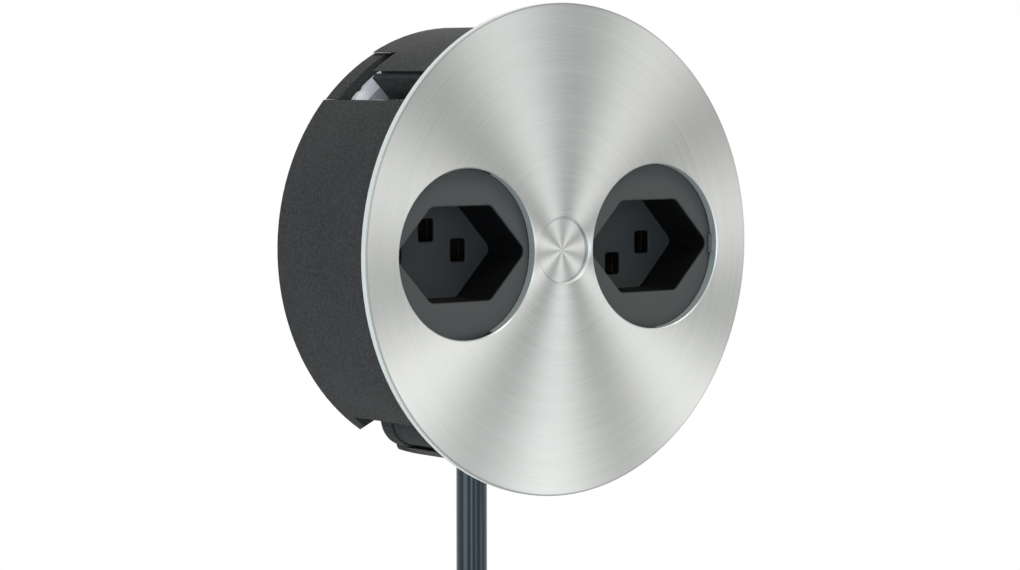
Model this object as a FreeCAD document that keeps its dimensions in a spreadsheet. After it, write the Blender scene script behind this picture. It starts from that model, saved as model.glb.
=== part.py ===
import FreeCAD, Part
import math
import os
import re
import Sketcher

# In-desk power module: two sockets behind a turning metal cover, clamped in a round cut-out by two claws.
# Everything is drawn as seen from the front, x to the right, y up and z towards the viewer,
# with z = 0 on the panel's face, where the cover's rim seats.
# A depth is measured from the cover's front face.
# At the end each piece is stood up, so that the cover faces -Y and the lead hangs down -Z.

os.makedirs("parts", exist_ok=True)
doc = FreeCAD.newDocument("desk_power_module")

DRIVING_SIZES = [
    ("cover_radius", 58.2, "outer radius of the cover"),
    ("rim_thickness", 1.8, "cover's rim"),
    ("rim_chamfer", 0.3, "broken front edge of the rim"),
    ("cover_thickness", 2.3, "cover inside the body's front ring"),
    ("opening_share", 0.342, "opening's radius, as a share of the cover's"),
    ("opening_chamfer", 0.25, "broken edge of an opening"),
    ("socket_share", 0.495, "socket's place, as a share of the cover's radius"),
    ("dish_radius", 8.1, "finger dish in the cover"),
    ("dish_depth", 1.0, "depth of the finger dish"),
    ("dish_chamfer", 0.45, "bevel round the finger dish"),
    ("groove_inner", 27.75, "guide groove, inner radius"),
    ("groove_wide", 8.85, "guide groove, width"),
    ("groove_depth", 1.55, "guide groove, cut from the back"),
    ("seat_relief", 0.2, "step inside the rim's seat"),
    ("seat_margin", 0.55, "rim's seat outside the body"),
    ("stop_width", 4.45, "stop nose at the right opening"),
    ("stop_sink", 0.95, "stop nose below the front face"),
    ("stop_reach", 1.0, "stop nose outside the opening"),
    ("stop_proud", 0.75, "stop nose inside the opening"),
    ("rim_overhang", 5.5, "rim outside the body"),
    ("body_wall", 2.4, "wall of the body"),
    ("body_depth", 43.0, "body's rear edge from the cover's front face"),
    ("body_chamfer", 0.4, "broken rear edge of the body"),
    ("cover_gap", 0.3, "running gap behind the cover"),
    ("hub_gap", 0.4, "running gap round the cover's inner part"),
    ("face_step", 0.3, "socket's face proud of the deck"),
    ("deck_thickness", 2.1, "front deck of the body"),
    ("piece_gap", 0.15, "gap round a piece set in another"),
    ("press_gap", 0.02, "gap round a piece pushed tightly into another"),
    ("pivot_inset", 6.84, "claw screw inside the body's radius"),
    ("pivot_angle", 47.14, "claw screw's angle above the horizontal"),
    ("claw_low_up", 1.7, "claw window's lower plane above the screw"),
    ("claw_high_up", 8.5, "claw window's upper plane above the screw"),
    ("claw_slot_up", 12.9, "wide claw slot's upper plane above the screw"),
    ("claw_slot_long", 9.95, "wide claw slot from the rear edge"),
    ("window_margin", 1.1, "windows begin behind the deck"),
    ("bay_wall_inset", 1.2, "claw bay wall's outer end inside the body"),
    ("bay_wall_angle", 51.8, "angle of that end above the horizontal"),
    ("bay_wall_slope", 43.4, "claw bay wall, slope down to the right"),
    ("bay_wall_long", 9.8, "claw bay wall, length"),
    ("rib_wall", 1.5, "thickness of inner walls"),
    ("post_inset", 7.7, "screw post inside the body's radius"),
    ("post_angle", 65.0, "screw post's angle below the horizontal"),
    ("post_radius", 7.0, "screw post"),
    ("post_window_up", 0.2, "post window's upper plane above the post"),
    ("post_window_down", 7.65, "post window's lower plane below the post"),
    ("post_window_behind", 4.6, "post window's end from the rear edge"),
    ("lug_radius", 7.45, "rear cover's screw lug"),
    ("lug_front_behind", 9.85, "lug's seat from the rear edge"),
    ("lug_back_behind", 5.75, "lug's screw seat from the rear edge"),
    ("notch_reach", 18.6, "reach of the rear notch"),
    ("notch_slope", 25.15, "rear notch's upper side, slope up to the right"),
    ("notch_above", 0.79, "that side above the post's axis, at the rear edge"),
    ("notch_rise", 0.486, "its rise for each millimetre towards the front"),
    ("notch_corner", 0.6, "rear notch's upper corner, to the left of the post's axis"),
    ("notch_foot", 4.6, "rear notch's lower corner, to the right of the post's axis"),
    ("notch_long", 7.6, "rear notch in the wall, from the rear edge"),
    ("plate_thickness", 2.3, "rear cover's plate"),
    ("tab_thickness", 2.8, "rear cover's tab"),
    ("tab_inset", 0.55, "tab's outer face inside the body's"),
    ("tab_long", 5.2, "tab from the rear edge"),
    ("tab_gap", 0.06, "gap between a tab and its slot"),
    ("cover_screw_shank", 1.4, "rear cover screw, shank radius"),
    ("cover_screw_head", 2.7, "rear cover screw, head radius"),
    ("cover_screw_head_tall", 1.9, "rear cover screw, head height"),
    ("cover_screw_long", 13.0, "rear cover screw, shank length"),
    ("claw_behind", 9.1, "claw's front face from the rear edge"),
    ("claw_thickness", 3.3, "claw plate"),
    ("claw_gap", 0.4, "folded claw inside the wall"),
    ("claw_bevel", 1.9, "bevel on the claw's outer edge"),
    ("claw_hub", 4.1, "claw round its screw"),
    ("claw_boss", 3.1, "claw's threaded boss"),
    ("claw_boss_long", 2.8, "length of the threaded boss"),
    ("claw_tip_out", 6.08, "claw's tip, to the right of its screw"),
    ("claw_tip_up", 9.96, "claw's tip, above its screw"),
    ("claw_heel_out", 0.48, "claw's outer heel, to the left of its screw"),
    ("claw_heel_up", 4.94, "claw's outer heel, above its screw"),
    ("claw_throat_out", 4.98, "claw's throat, to the right of its screw"),
    ("claw_throat_up", 5.35, "claw's throat, above its screw"),
    ("claw_screw_shank", 2.0, "claw screw, shank radius"),
    ("claw_screw_head", 3.5, "claw screw, head radius"),
    ("claw_screw_head_tall", 1.9, "claw screw, head height"),
    ("claw_screw_sink", 0.2, "claw screw's head below the deck"),
    ("claw_screw_spare", 0.8, "claw screw's end inside the rear face"),
    ("screw_running", 0.05, "running clearance round a shank"),
    ("head_room", 0.3, "room round a screw's head"),
    ("claw_post", 5.2, "deck boss round a claw screw"),
    ("claw_post_tall", 3.2, "height of that boss behind the deck"),
    ("slot_wide", 1.0, "driver slot, width"),
    ("slot_deep", 0.9, "driver slot, depth"),
    ("stud_radius", 3.5, "pivot stud"),
    ("stud_long", 9.7, "pivot stud, length behind the cover"),
    ("stud_neck", 2.8, "pivot stud at its clip groove"),
    ("stud_end", 1.1, "pivot stud behind its clip"),
    ("stud_chamfer", 0.4, "broken end of the pivot stud"),
    ("stud_running", 0.05, "running clearance round the stud"),
    ("bush_outer", 5.0, "pivot bush"),
    ("bush_flange", 6.2, "pivot bush, rear flange radius"),
    ("bush_flange_thick", 1.0, "pivot bush, rear flange"),
    ("hub_boss", 6.4, "deck boss round the bush"),
    ("hub_boss_tall", 2.7, "height of that boss behind the deck"),
    ("clip_thickness", 0.8, "retaining clip"),
    ("clip_radius", 5.6, "retaining clip, outer radius"),
    ("clip_mouth", 4.0, "retaining clip, mouth"),
    ("spring_thickness", 0.5, "disc spring"),
    ("spring_outer", 6.0, "disc spring, outer radius"),
    ("spring_inner", 3.9, "disc spring, inner radius"),
    ("spring_play", 0.1, "play between the disc spring and its clip"),
    ("shoe_height", 1.7, "guide shoe above the deck"),
    ("shoe_gap", 0.4, "guide shoe inside its groove"),
    ("shoe_angle", 66.0, "arc of a guide shoe"),
    ("face_margin", 0.9, "socket's face outside the opening"),
    ("face_round", 0.75, "rounding of the socket's face"),
    ("face_thick", 1.4, "socket's face flange"),
    ("neck_inset", 1.3, "socket's body inside its face"),
    ("neck_long", 5.2, "socket's round body behind its face"),
    ("snap_wide", 6.0, "snap lug, width"),
    ("snap_proud", 1.0, "snap lug beyond the round body"),
    ("snap_tall", 1.5, "snap lug, height"),
    ("snap_gap", 0.1, "snap lug behind the deck"),
    ("recess_long_share", 0.9663, "half the recess's length, as a share of the opening's radius"),
    ("recess_tall_share", 0.5543, "half the recess's height, as a share of the opening's radius"),
    ("recess_flat_share", 0.4372, "half the recess's flat, as a share of the opening's radius"),
    ("recess_depth", 13.5, "plug recess below the socket's face"),
    ("recess_corner", 2.05, "rounded corners of the recess"),
    ("recess_lip", 0.55, "rounded lip of the recess"),
    ("recess_wall", 1.5, "wall round the recess"),
    ("pin_pitch", 9.5, "line and neutral from the middle"),
    ("earth_offset", 5.0, "earth above the middle"),
    ("pin_hole_wide", 4.3, "pin hole, width"),
    ("pin_hole_tall", 5.3, "pin hole, height"),
    ("pin_corner", 0.6, "rounded corners of a pin hole"),
    ("pin_bevel", 0.27, "bevel round a pin hole"),
    ("chamber_wide", 6.7, "contact chamber"),
    ("chamber_margin", 1.9, "wall round the chambers"),
    ("chamber_floor", 1.7, "floor between recess and chambers"),
    ("chamber_behind", 15.1, "chamber block's back from the rear edge"),
    ("contact_wide", 4.6, "spring contact, width"),
    ("contact_half", 2.5, "spring contact, half its span"),
    ("contact_neck", 1.5, "spring contact, half its grip"),
    ("contact_sheet", 0.55, "spring contact, sheet"),
    ("contact_tip_gap", 0.8, "contact's tip behind the recess's floor"),
    ("contact_throat", 0.15, "contact's grip, as a share of its height"),
    ("contact_shoulder", 0.45, "contact's shoulder, as a share of its height"),
    ("bar_thickness", 0.8, "busbar"),
    ("bar_width", 4.4, "busbar, width"),
    ("tail_width", 3.8, "busbar's tail, width"),
    ("line_bar_behind", 14.1, "line busbar from the rear edge"),
    ("bar_step", 2.8, "step from one busbar to the next"),
    ("neutral_bar_up", 10.2, "neutral busbar above the axis"),
    ("pole_pitch", 6.6, "terminal's poles"),
    ("block_wide", 20.6, "terminal block, width"),
    ("block_tall", 11.2, "terminal block, height"),
    ("block_inset", 39.7, "terminal block's top inside the body's radius"),
    ("block_front_behind", 18.8, "terminal block's front from the rear edge"),
    ("block_back_behind", 5.4, "terminal block's back from the rear edge"),
    ("cage_front_behind", 16.4, "terminal cage's front from the rear edge"),
    ("cage_back_behind", 6.4, "terminal cage's back from the rear edge"),
    ("cage_wide", 5.0, "terminal cage, width"),
    ("cage_tall", 7.5, "terminal cage, height"),
    ("cage_wall", 0.5, "terminal cage, side wall"),
    ("cage_roof", 1.2, "terminal cage, threaded wall"),
    ("terminal_screw_shank", 1.25, "terminal screw, shank radius"),
    ("terminal_screw_head", 2.0, "terminal screw, head radius"),
    ("terminal_screw_head_tall", 0.9, "terminal screw, head height"),
    ("pillar_radius", 3.7, "terminal block's pillar"),
    ("lead_radius", 3.8, "supply lead"),
    ("lead_behind", 7.6, "lead's axis from the rear edge"),
    ("lead_grip", 14.5, "lead's inner end inside the body's radius"),
    ("grommet_radius", 5.6, "grommet in the outlet"),
    ("grommet_flange", 6.7, "grommet, inner flange radius"),
    ("grommet_flange_thick", 1.1, "grommet, inner flange"),
    ("grommet_gap", 0.5, "grommet's flange inside the wall"),
    ("clamp_screw_across", 8.0, "clamp screws from the middle"),
    ("clamp_inset", 9.9, "cable clamp inside the body's radius"),
    ("clamp_tall", 5.6, "cable clamp along the lead"),
    ("clamp_half_wide", 10.6, "cable clamp, half its width"),
    ("clamp_ear_thick", 2.0, "cable clamp's ears"),
    ("clamp_cover_thick", 1.0, "cable clamp over the lead"),
    ("clamp_bridge_half", 5.2, "cable clamp's bridge, half its width"),
    ("clamp_pillar", 2.4, "clamp pillar"),
    ("clamp_split", 0.3, "clamp's parting plane behind the lead's axis"),
    ("clamp_screw_shank", 1.2, "clamp screw, shank radius"),
    ("clamp_screw_head", 2.25, "clamp screw, head radius"),
    ("clamp_screw_head_tall", 1.7, "clamp screw, head height"),
    ("clamp_screw_long", 8.4, "clamp screw, shank length"),
    ("core_radius", 1.3, "insulated core"),
    ("core_entry", 1.5, "core inside the terminal block"),
    ("core_straight", 4.5, "core's straight run at each end, before its bend is eased"),
    ("core_side", 1.6, "line and neutral cores beside the lead's axis"),
    ("core_front", 0.95, "line and neutral cores in front of the lead's axis"),
    ("core_behind", 1.85, "earth core behind the lead's axis"),
    ("core_gap", 0.1, "gap between a core and its busbar"),
    ("connector_wide", 20.0, "connector, width"),
    ("connector_thick", 13.6, "connector, thickness"),
    ("connector_long", 28.0, "connector, body length"),
    ("connector_round", 1.9, "connector, rounded edges"),
    ("connector_neck", 6.0, "connector's neck, radius at the body"),
    ("connector_neck_end", 4.9, "connector's neck, radius at the lead"),
    ("connector_neck_long", 8.4, "connector's neck, length"),
    ("connector_grip", 5.6, "length of lead inside the connector"),
    ("nose_wide", 16.8, "connector's nose, width"),
    ("nose_thick", 9.8, "connector's nose, thickness"),
    ("nose_long", 12.2, "connector's nose, length"),
    ("nose_wall", 1.25, "connector's nose, wall"),
    ("nose_hollow", 10.8, "connector's nose, hollow depth"),
    ("blade_radius", 1.4, "connector's pins, radius"),
    ("blade_pitch", 4.6, "connector's pins, pitch"),
    ("blade_long", 9.4, "connector's pins, free length"),
]

# Sizes that follow from the driving ones, so that pieces which keep together move together.
DERIVED_SIZES = [
    ("body_radius", "cover_radius - rim_overhang", "outer radius of the body"),
    ("wall_inner", "body_radius - body_wall", "inner radius of the body's wall"),
    ("seat_inner", "body_radius + seat_margin", "inner radius of the rim's seat"),
    ("hub_radius", "wall_inner - hub_gap", "cover's inner part"),
    ("opening_radius", "cover_radius * opening_share", "round opening over a socket"),
    ("socket_offset", "cover_radius * socket_share", "socket's centre from the axis"),
    ("groove_outer", "groove_inner + groove_wide", "guide groove, outer radius"),
    ("face_radius", "opening_radius + face_margin", "socket's round face"),
    ("neck_radius", "face_radius - neck_inset", "socket's round body"),
    ("recess_half_long", "opening_radius * recess_long_share", "plug recess, half its length"),
    ("recess_half_tall", "opening_radius * recess_tall_share", "plug recess, half its height"),
    ("recess_half_flat", "opening_radius * recess_flat_share", "plug recess, half its flat"),
    ("face_depth", "cover_thickness + cover_gap", "depth of the socket's face"),
    ("deck_front_depth", "face_depth + face_step", "depth of the deck's front"),
    ("deck_back_depth", "deck_front_depth + deck_thickness", "depth of the deck's back"),
    ("window_depth", "deck_back_depth + window_margin", "depth where the windows begin"),
    ("pivot_across", "(body_radius - pivot_inset) * cos(pivot_angle)", "claw screw, across from the axis"),
    ("pivot_up", "(body_radius - pivot_inset) * sin(pivot_angle)", "claw screw, above the axis"),
    ("claw_low", "pivot_up + claw_low_up", "claw window, lower plane"),
    ("claw_high", "pivot_up + claw_high_up", "claw window, upper plane"),
    ("claw_slot_high", "pivot_up + claw_slot_up", "claw slot, upper plane"),
    ("claw_slot_depth", "body_depth - claw_slot_long", "depth where the claw slot widens"),
    ("claw_front_depth", "body_depth - claw_behind", "claw, front face"),
    ("claw_reach", "wall_inner - claw_gap", "folded claw's outer radius"),
    ("bay_wall_start", "body_radius - bay_wall_inset", "claw bay wall, radius of its outer end"),
    ("post_across", "(body_radius - post_inset) * cos(post_angle)", "screw post, across from the axis"),
    ("post_down", "(body_radius - post_inset) * sin(post_angle)", "screw post, below the axis"),
    ("post_window_high", "post_down - post_window_up", "post window, upper plane below the axis"),
    ("post_window_low", "post_down + post_window_down", "post window, lower plane below the axis"),
    ("post_window_end", "body_depth - post_window_behind", "depth where the post window ends"),
    ("lug_front_depth", "body_depth - lug_front_behind", "depth where a lug seats on its post"),
    ("lug_back_depth", "body_depth - lug_back_behind", "depth of a lug's screw seat"),
    ("notch_depth", "body_depth - notch_long", "depth where the rear notch in the wall begins"),
    ("tab_front_depth", "body_depth - tab_long", "depth of a tab's front face"),
    ("tab_outer", "body_radius - tab_inset", "rear cover's tab, outer radius"),
    ("chamber_depth", "body_depth - chamber_behind", "depth of the chamber block's back"),
    ("chamber_block_wide", "2 * pin_pitch + chamber_wide + 2 * chamber_margin", "chamber block, width"),
    ("chamber_block_tall", "2 * earth_offset + chamber_wide + 2 * chamber_margin", "chamber block, height"),
    ("recess_floor_depth", "face_depth + recess_depth", "depth of the recess's floor"),
    (
        "contact_tip_depth",
        "recess_floor_depth + chamber_floor + contact_tip_gap",
        "depth of a contact's tip",
    ),
    ("line_bar_depth", "body_depth - line_bar_behind", "depth of the line busbar"),
    ("neutral_bar_depth", "line_bar_depth + bar_step", "depth of the neutral busbar"),
    ("earth_bar_depth", "neutral_bar_depth + bar_step", "depth of the earth busbar"),
    ("block_down", "body_radius - block_inset", "terminal block's top below the axis"),
    ("block_front_depth", "body_depth - block_front_behind", "terminal block, front"),
    ("block_back_depth", "body_depth - block_back_behind", "terminal block, back"),
    ("cage_front_depth", "body_depth - cage_front_behind", "terminal cage, front"),
    ("cage_back_depth", "body_depth - cage_back_behind", "terminal cage, back"),
    ("lead_depth", "body_depth - lead_behind", "depth of the lead's axis"),
    ("lead_inside", "body_radius - lead_grip", "lead's inner end below the axis"),
    ("clamp_down", "body_radius - clamp_inset", "cable clamp below the axis"),
]
NAMES = {alias for alias, value, note in DRIVING_SIZES + DERIVED_SIZES}

# The lead's route from its inner end: right, down and deeper, with its bends eased by arcs.
# It hangs straight as far as the photograph shows it, and then keeps a little of its set.
LEAD_ROUTE = [
    (0.0, 0.0, 0.0),
    (0.0, 54.0, 0.0),
    (1.3, 104.0, 0.9),
    (-0.6, 152.0, 0.3),
    (-0.6, 200.0, 0.3),
]

sizes = doc.addObject("Spreadsheet::Sheet", "sizes")
for row, (alias, value, note) in enumerate(DRIVING_SIZES + DERIVED_SIZES, 1):
    sizes.set(f"A{row}", note)
    sizes.set(f"B{row}", f"={value}" if isinstance(value, str) else str(value))
    sizes.setAlias(f"B{row}", alias)
doc.recompute()

# Levels along the axis, as words over the sheet's sizes.
FRONT = "rim_thickness"
HUB_BACK = "(rim_thickness - cover_thickness)"
FACE = "(rim_thickness - face_depth)"
DECK_FRONT = "(rim_thickness - deck_front_depth)"
DECK_BACK = "(rim_thickness - deck_back_depth)"
REAR = "(rim_thickness - body_depth)"


def level(depth):
    """The place along the axis of a depth behind the cover's front face."""
    return f"(rim_thickness - ({depth}))"


def named(text):
    """The same words with each driving size looked up in the sheet."""
    return re.sub(
        r"[a-z][a-z_]+",
        lambda word: "sizes." + word.group() if word.group() in NAMES else word.group(),
        text,
    )


def bind(piece, bindings):
    """Ties a piece's properties to words over the driving sizes."""
    for property_name, text in bindings.items():
        piece.setExpression(property_name, named(text))
    return piece


def number_of(text):
    """The value of such words, worked out from the sheet."""
    return float(sizes.evalExpression(named(text)))


def put(piece, x="0", y="0", z="0", turn="0", axis=(0, 0, 1)):
    """Places a piece at a bound point, turned by a bound angle."""
    piece.Placement = FreeCAD.Placement(FreeCAD.Vector(0, 0, 0), FreeCAD.Rotation(FreeCAD.Vector(*axis), 1))
    return bind(
        piece,
        {
            "Placement.Base.x": x,
            "Placement.Base.y": y,
            "Placement.Base.z": z,
            "Placement.Rotation.Angle": turn,
        },
    )


def rod(name, radius, low, high, x="0", y="0", angle="360", turn="0"):
    """A round bar along the axis, from one level to another."""
    piece = doc.addObject("Part::Cylinder", name)
    bind(piece, {"Radius": radius, "Height": f"({high}) - ({low})", "Angle": angle})
    return put(piece, x, y, low, turn)


def block(name, left, right, bottom, top, low, high):
    """A square block between bound planes."""
    piece = doc.addObject("Part::Box", name)
    bind(
        piece,
        {
            "Length": f"({right}) - ({left})",
            "Width": f"({top}) - ({bottom})",
            "Height": f"({high}) - ({low})",
        },
    )
    return put(piece, left, bottom, low)


def outline(sketch, points):
    """A closed outline whose corners are all bound to the sizes."""
    count = len(points)
    start = [2 * math.pi * i / count - 0.75 * math.pi for i in range(count)]
    corners = [(10 * math.cos(a), 10 * math.sin(a)) for a in start]
    for i in range(count):
        a = FreeCAD.Vector(*corners[i], 0)
        b = FreeCAD.Vector(*corners[(i + 1) % count], 0)
        sketch.addGeometry(Part.LineSegment(a, b), False)
    for i in range(count):
        sketch.addConstraint(Sketcher.Constraint("Coincident", i, 2, (i + 1) % count, 1))
    for i in range(count):
        for direction, value in zip(("DistanceX", "DistanceY"), range(2)):
            index = sketch.addConstraint(Sketcher.Constraint(direction, -1, 1, i, 1, corners[i][value]))
            sketch.setExpression(f"Constraints[{index}]", named(points[i][value]))
    return sketch


def circles(sketch, rings):
    """Circles of bound centre and radius."""
    for i, (x, y, radius) in enumerate(rings):
        centre = FreeCAD.Vector(5.0 + i, 5.0, 0)
        sketch.addGeometry(Part.Circle(centre, FreeCAD.Vector(0, 0, 1), 3.0), False)
        index = sketch.addConstraint(Sketcher.Constraint("Radius", i, 3.0))
        sketch.setExpression(f"Constraints[{index}]", named(radius))
        for direction, text, value in (("DistanceX", x, centre.x), ("DistanceY", y, centre.y)):
            index = sketch.addConstraint(Sketcher.Constraint(direction, -1, 1, i, 3, value))
            sketch.setExpression(f"Constraints[{index}]", named(text))
    return sketch


def prism(name, points, low, high, x="0", y="0"):
    """An outline drawn from the front and drawn out between two levels."""
    sketch = outline(doc.addObject("Sketcher::SketchObject", name + "_outline"), points)
    piece = doc.addObject("Part::Extrusion", name)
    piece.Base = sketch
    piece.DirMode = "Custom"
    piece.Dir = FreeCAD.Vector(0, 0, 1)
    piece.Solid = True
    bind(piece, {"LengthFwd": f"({high}) - ({low})"})
    return put(piece, x, y, low)


def turned(name, points):
    """A profile of radius and level, turned about the axis."""
    sketch = outline(doc.addObject("Sketcher::SketchObject", name + "_profile"), points)
    sketch.Placement = FreeCAD.Placement(
        FreeCAD.Vector(0, 0, 0), FreeCAD.Rotation(FreeCAD.Vector(1, 0, 0), 90)
    )
    piece = doc.addObject("Part::Revolution", name)
    piece.Source = sketch
    piece.Axis = FreeCAD.Vector(0, 0, 1)
    piece.Base = FreeCAD.Vector(0, 0, 0)
    piece.Angle = 360.0
    piece.Solid = True
    return piece


def fuse(name, pieces):
    joined = doc.addObject("Part::MultiFuse", name)
    joined.Shapes = pieces
    joined.Refine = True
    return joined


def cut(name, base, tool):
    left_over = doc.addObject("Part::Cut", name)
    left_over.Base = base
    left_over.Tool = tool
    left_over.Refine = True
    return left_over


def common(name, base, tool):
    shared = doc.addObject("Part::Common", name)
    shared.Base = base
    shared.Tool = tool
    return shared


def group(name, pieces):
    """Separate solids kept together as one named piece."""
    together = doc.addObject("Part::Compound", name)
    together.Links = pieces
    return together


def other_side(piece):
    """The same thing half a turn round the axis."""
    return put(piece, turn="180")


def body_of(name):
    body = doc.addObject("PartDesign::Body", name)
    return body


def plane_of(body, role):
    return next(feature for feature in body.Origin.OriginFeatures if feature.Role == role)


def sketch_on(body, role, name, offset="0"):
    sketch = body.newObject("Sketcher::SketchObject", name)
    sketch.AttachmentSupport = [(plane_of(body, role), "")]
    sketch.MapMode = "FlatFace"
    bind(sketch, {".AttachmentOffset.Base.z": offset})
    return sketch


def pad(body, sketch, name, length):
    feature = body.newObject("PartDesign::Pad", name)
    feature.Profile = sketch
    bind(feature, {"Length": length})
    return feature


def pocket(body, sketch, name, length):
    """Cuts behind the sketch's level, away from the viewer."""
    feature = body.newObject("PartDesign::Pocket", name)
    feature.Profile = sketch
    bind(feature, {"Length": length})
    return feature


def edges_where(feature, test):
    """The names of a feature's edges that pass a test."""
    return [f"Edge{i}" for i, edge in enumerate(feature.Shape.Edges, 1) if test(edge)]


def at_level(edge, height):
    ends_level = all(abs(vertex.Z - height) < 1e-4 for vertex in edge.Vertexes)
    return ends_level and abs(edge.CenterOfMass.z - height) < 1e-4


pieces = []


def finish(piece, label, placement=None):
    """Stands a finished piece up in the part's own frame and lists it for writing."""
    if any("Placement" in path for path, words in piece.ExpressionEngine):
        piece = group(label + "_stood", [piece])
    piece.Label = label
    stand = FreeCAD.Placement(FreeCAD.Vector(0, 0, 0), FreeCAD.Rotation(FreeCAD.Vector(1, 0, 0), 90))
    piece.Placement = stand.multiply(placement) if placement else stand
    pieces.append(piece)
    return piece


# Cover: turned from one disc, with a finger dish in front and a guide groove behind.
cover = body_of("cover_body")
cover_profile = outline(
    sketch_on(cover, "XZ_Plane", "cover_profile"),
    [
        ("0", "rim_thickness - dish_depth"),
        ("dish_radius - dish_chamfer", "rim_thickness - dish_depth"),
        ("dish_radius - dish_chamfer", "rim_thickness - dish_chamfer"),
        ("dish_radius", FRONT),
        ("cover_radius - rim_chamfer", FRONT),
        ("cover_radius", "rim_thickness - rim_chamfer"),
        ("cover_radius", "0"),
        ("seat_inner", "0"),
        ("seat_inner", "seat_relief"),
        ("hub_radius", "seat_relief"),
        ("hub_radius", HUB_BACK),
        ("groove_outer", HUB_BACK),
        ("groove_outer", f"{HUB_BACK} + groove_depth"),
        ("groove_inner", f"{HUB_BACK} + groove_depth"),
        ("groove_inner", HUB_BACK),
        ("0", HUB_BACK),
    ],
)
cover_turned = cover.newObject("PartDesign::Revolution", "cover_turned")
cover_turned.Profile = cover_profile
cover_turned.ReferenceAxis = (cover_profile, ["V_Axis"])
cover_turned.Angle = 360.0
doc.recompute()
cover_openings = pocket(
    cover,
    circles(
        sketch_on(cover, "XY_Plane", "opening_circles", "rim_thickness + 1"),
        [("socket_offset", "0", "opening_radius"), ("-socket_offset", "0", "opening_radius")],
    ),
    "cover_openings",
    "cover_thickness + 2",
)
doc.recompute()
stop_notch = pocket(
    cover,
    outline(
        sketch_on(cover, "XY_Plane", "stop_notch_outline", "rim_thickness - stop_sink"),
        [
            ("socket_offset + opening_radius - 1", "-stop_width / 2"),
            ("socket_offset + opening_radius + stop_reach", "-stop_width / 2"),
            ("socket_offset + opening_radius + stop_reach", "stop_width / 2"),
            ("socket_offset + opening_radius - 1", "stop_width / 2"),
        ],
    ),
    "stop_notch",
    "cover_thickness",
)
doc.recompute()
opening_edges = edges_where(
    stop_notch,
    lambda edge: hasattr(edge.Curve, "Radius")
    and abs(edge.Curve.Radius - number_of("opening_radius")) < 1e-4
    and at_level(edge, number_of(FRONT)),
)
opening_bevel = cover.newObject("PartDesign::Chamfer", "opening_bevel")
opening_bevel.Base = (stop_notch, opening_edges)
bind(opening_bevel, {"Size": "opening_chamfer"})
cover.Tip = opening_bevel
doc.recompute()
finish(cover, "cover_disc")

# Stop nose: a small moulded block set in a notch of the right opening's wall.
finish(
    block(
        "stop_block",
        "socket_offset + opening_radius - stop_proud",
        "socket_offset + opening_radius + stop_reach",
        "-stop_width / 2",
        "stop_width / 2",
        HUB_BACK,
        "rim_thickness - stop_sink",
    ),
    "cover_stop",
)

# Pivot stud: welded to the back of the cover, with a neck for its retaining clip.
clip_front = f"({HUB_BACK} - stud_long + stud_end + clip_thickness)"
clip_back = f"({HUB_BACK} - stud_long + stud_end)"
finish(
    turned(
        "stud_turned",
        [
            ("0", HUB_BACK),
            ("stud_radius", HUB_BACK),
            ("stud_radius", clip_front),
            ("stud_neck", clip_front),
            ("stud_neck", clip_back),
            ("stud_radius", clip_back),
            ("stud_radius", f"{HUB_BACK} - stud_long + stud_chamfer"),
            ("stud_radius - stud_chamfer", f"{HUB_BACK} - stud_long"),
            ("0", f"{HUB_BACK} - stud_long"),
        ],
    ),
    "pivot_stud",
)
finish(
    cut(
        "clip_open",
        rod("clip_disc", "clip_radius", clip_back, clip_front),
        fuse(
            "clip_cutters",
            [
                rod("clip_hole", "stud_neck + press_gap", f"{clip_back} - 1", f"{clip_front} + 1"),
                block(
                    "clip_gap",
                    "-clip_mouth / 2",
                    "clip_mouth / 2",
                    "0",
                    "clip_radius + 1",
                    f"{clip_back} - 1",
                    f"{clip_front} + 1",
                ),
            ],
        ),
    ),
    "retaining_clip",
)

# Bush and disc spring: the bush is pressed into the deck from behind, and the spring holds the cover down.
bush_back = f"({DECK_BACK} - hub_boss_tall)"
finish(
    turned(
        "bush_turned",
        [
            ("stud_radius + stud_running", f"{DECK_FRONT} - cover_gap"),
            ("bush_outer", f"{DECK_FRONT} - cover_gap"),
            ("bush_outer", bush_back),
            ("bush_flange", bush_back),
            ("bush_flange", f"{bush_back} - bush_flange_thick"),
            ("stud_radius + stud_running", f"{bush_back} - bush_flange_thick"),
        ],
    ),
    "pivot_bush",
)
spring_front = f"({bush_back} - bush_flange_thick)"
spring_rise = f"({spring_front} - {clip_front} - spring_thickness - spring_play)"
finish(
    turned(
        "spring_turned",
        [
            ("spring_outer", spring_front),
            ("spring_outer", f"{spring_front} - spring_thickness"),
            ("spring_inner", f"{spring_front} - spring_thickness - {spring_rise}"),
            ("spring_inner", f"{spring_front} - {spring_rise}"),
        ],
    ),
    "disc_spring",
)

# Guide shoes: two low arcs on the deck that run in the cover's groove.
shoe_top = f"({DECK_FRONT} + shoe_height)"
shoes = []
for side, first_angle in (("upper", "90 - shoe_angle / 2"), ("lower", "270 - shoe_angle / 2")):
    shoes.append(
        cut(
            side + "_shoe",
            rod(
                side + "_shoe_disc",
                "groove_outer - shoe_gap",
                DECK_FRONT,
                shoe_top,
                "0",
                "0",
                "shoe_angle",
                first_angle,
            ),
            rod(side + "_shoe_hole", "groove_inner + shoe_gap", f"{DECK_FRONT} - 1", f"{shoe_top} + 1"),
        )
    )
finish(group("shoe_pair", shoes), "guide_shoes")


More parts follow.
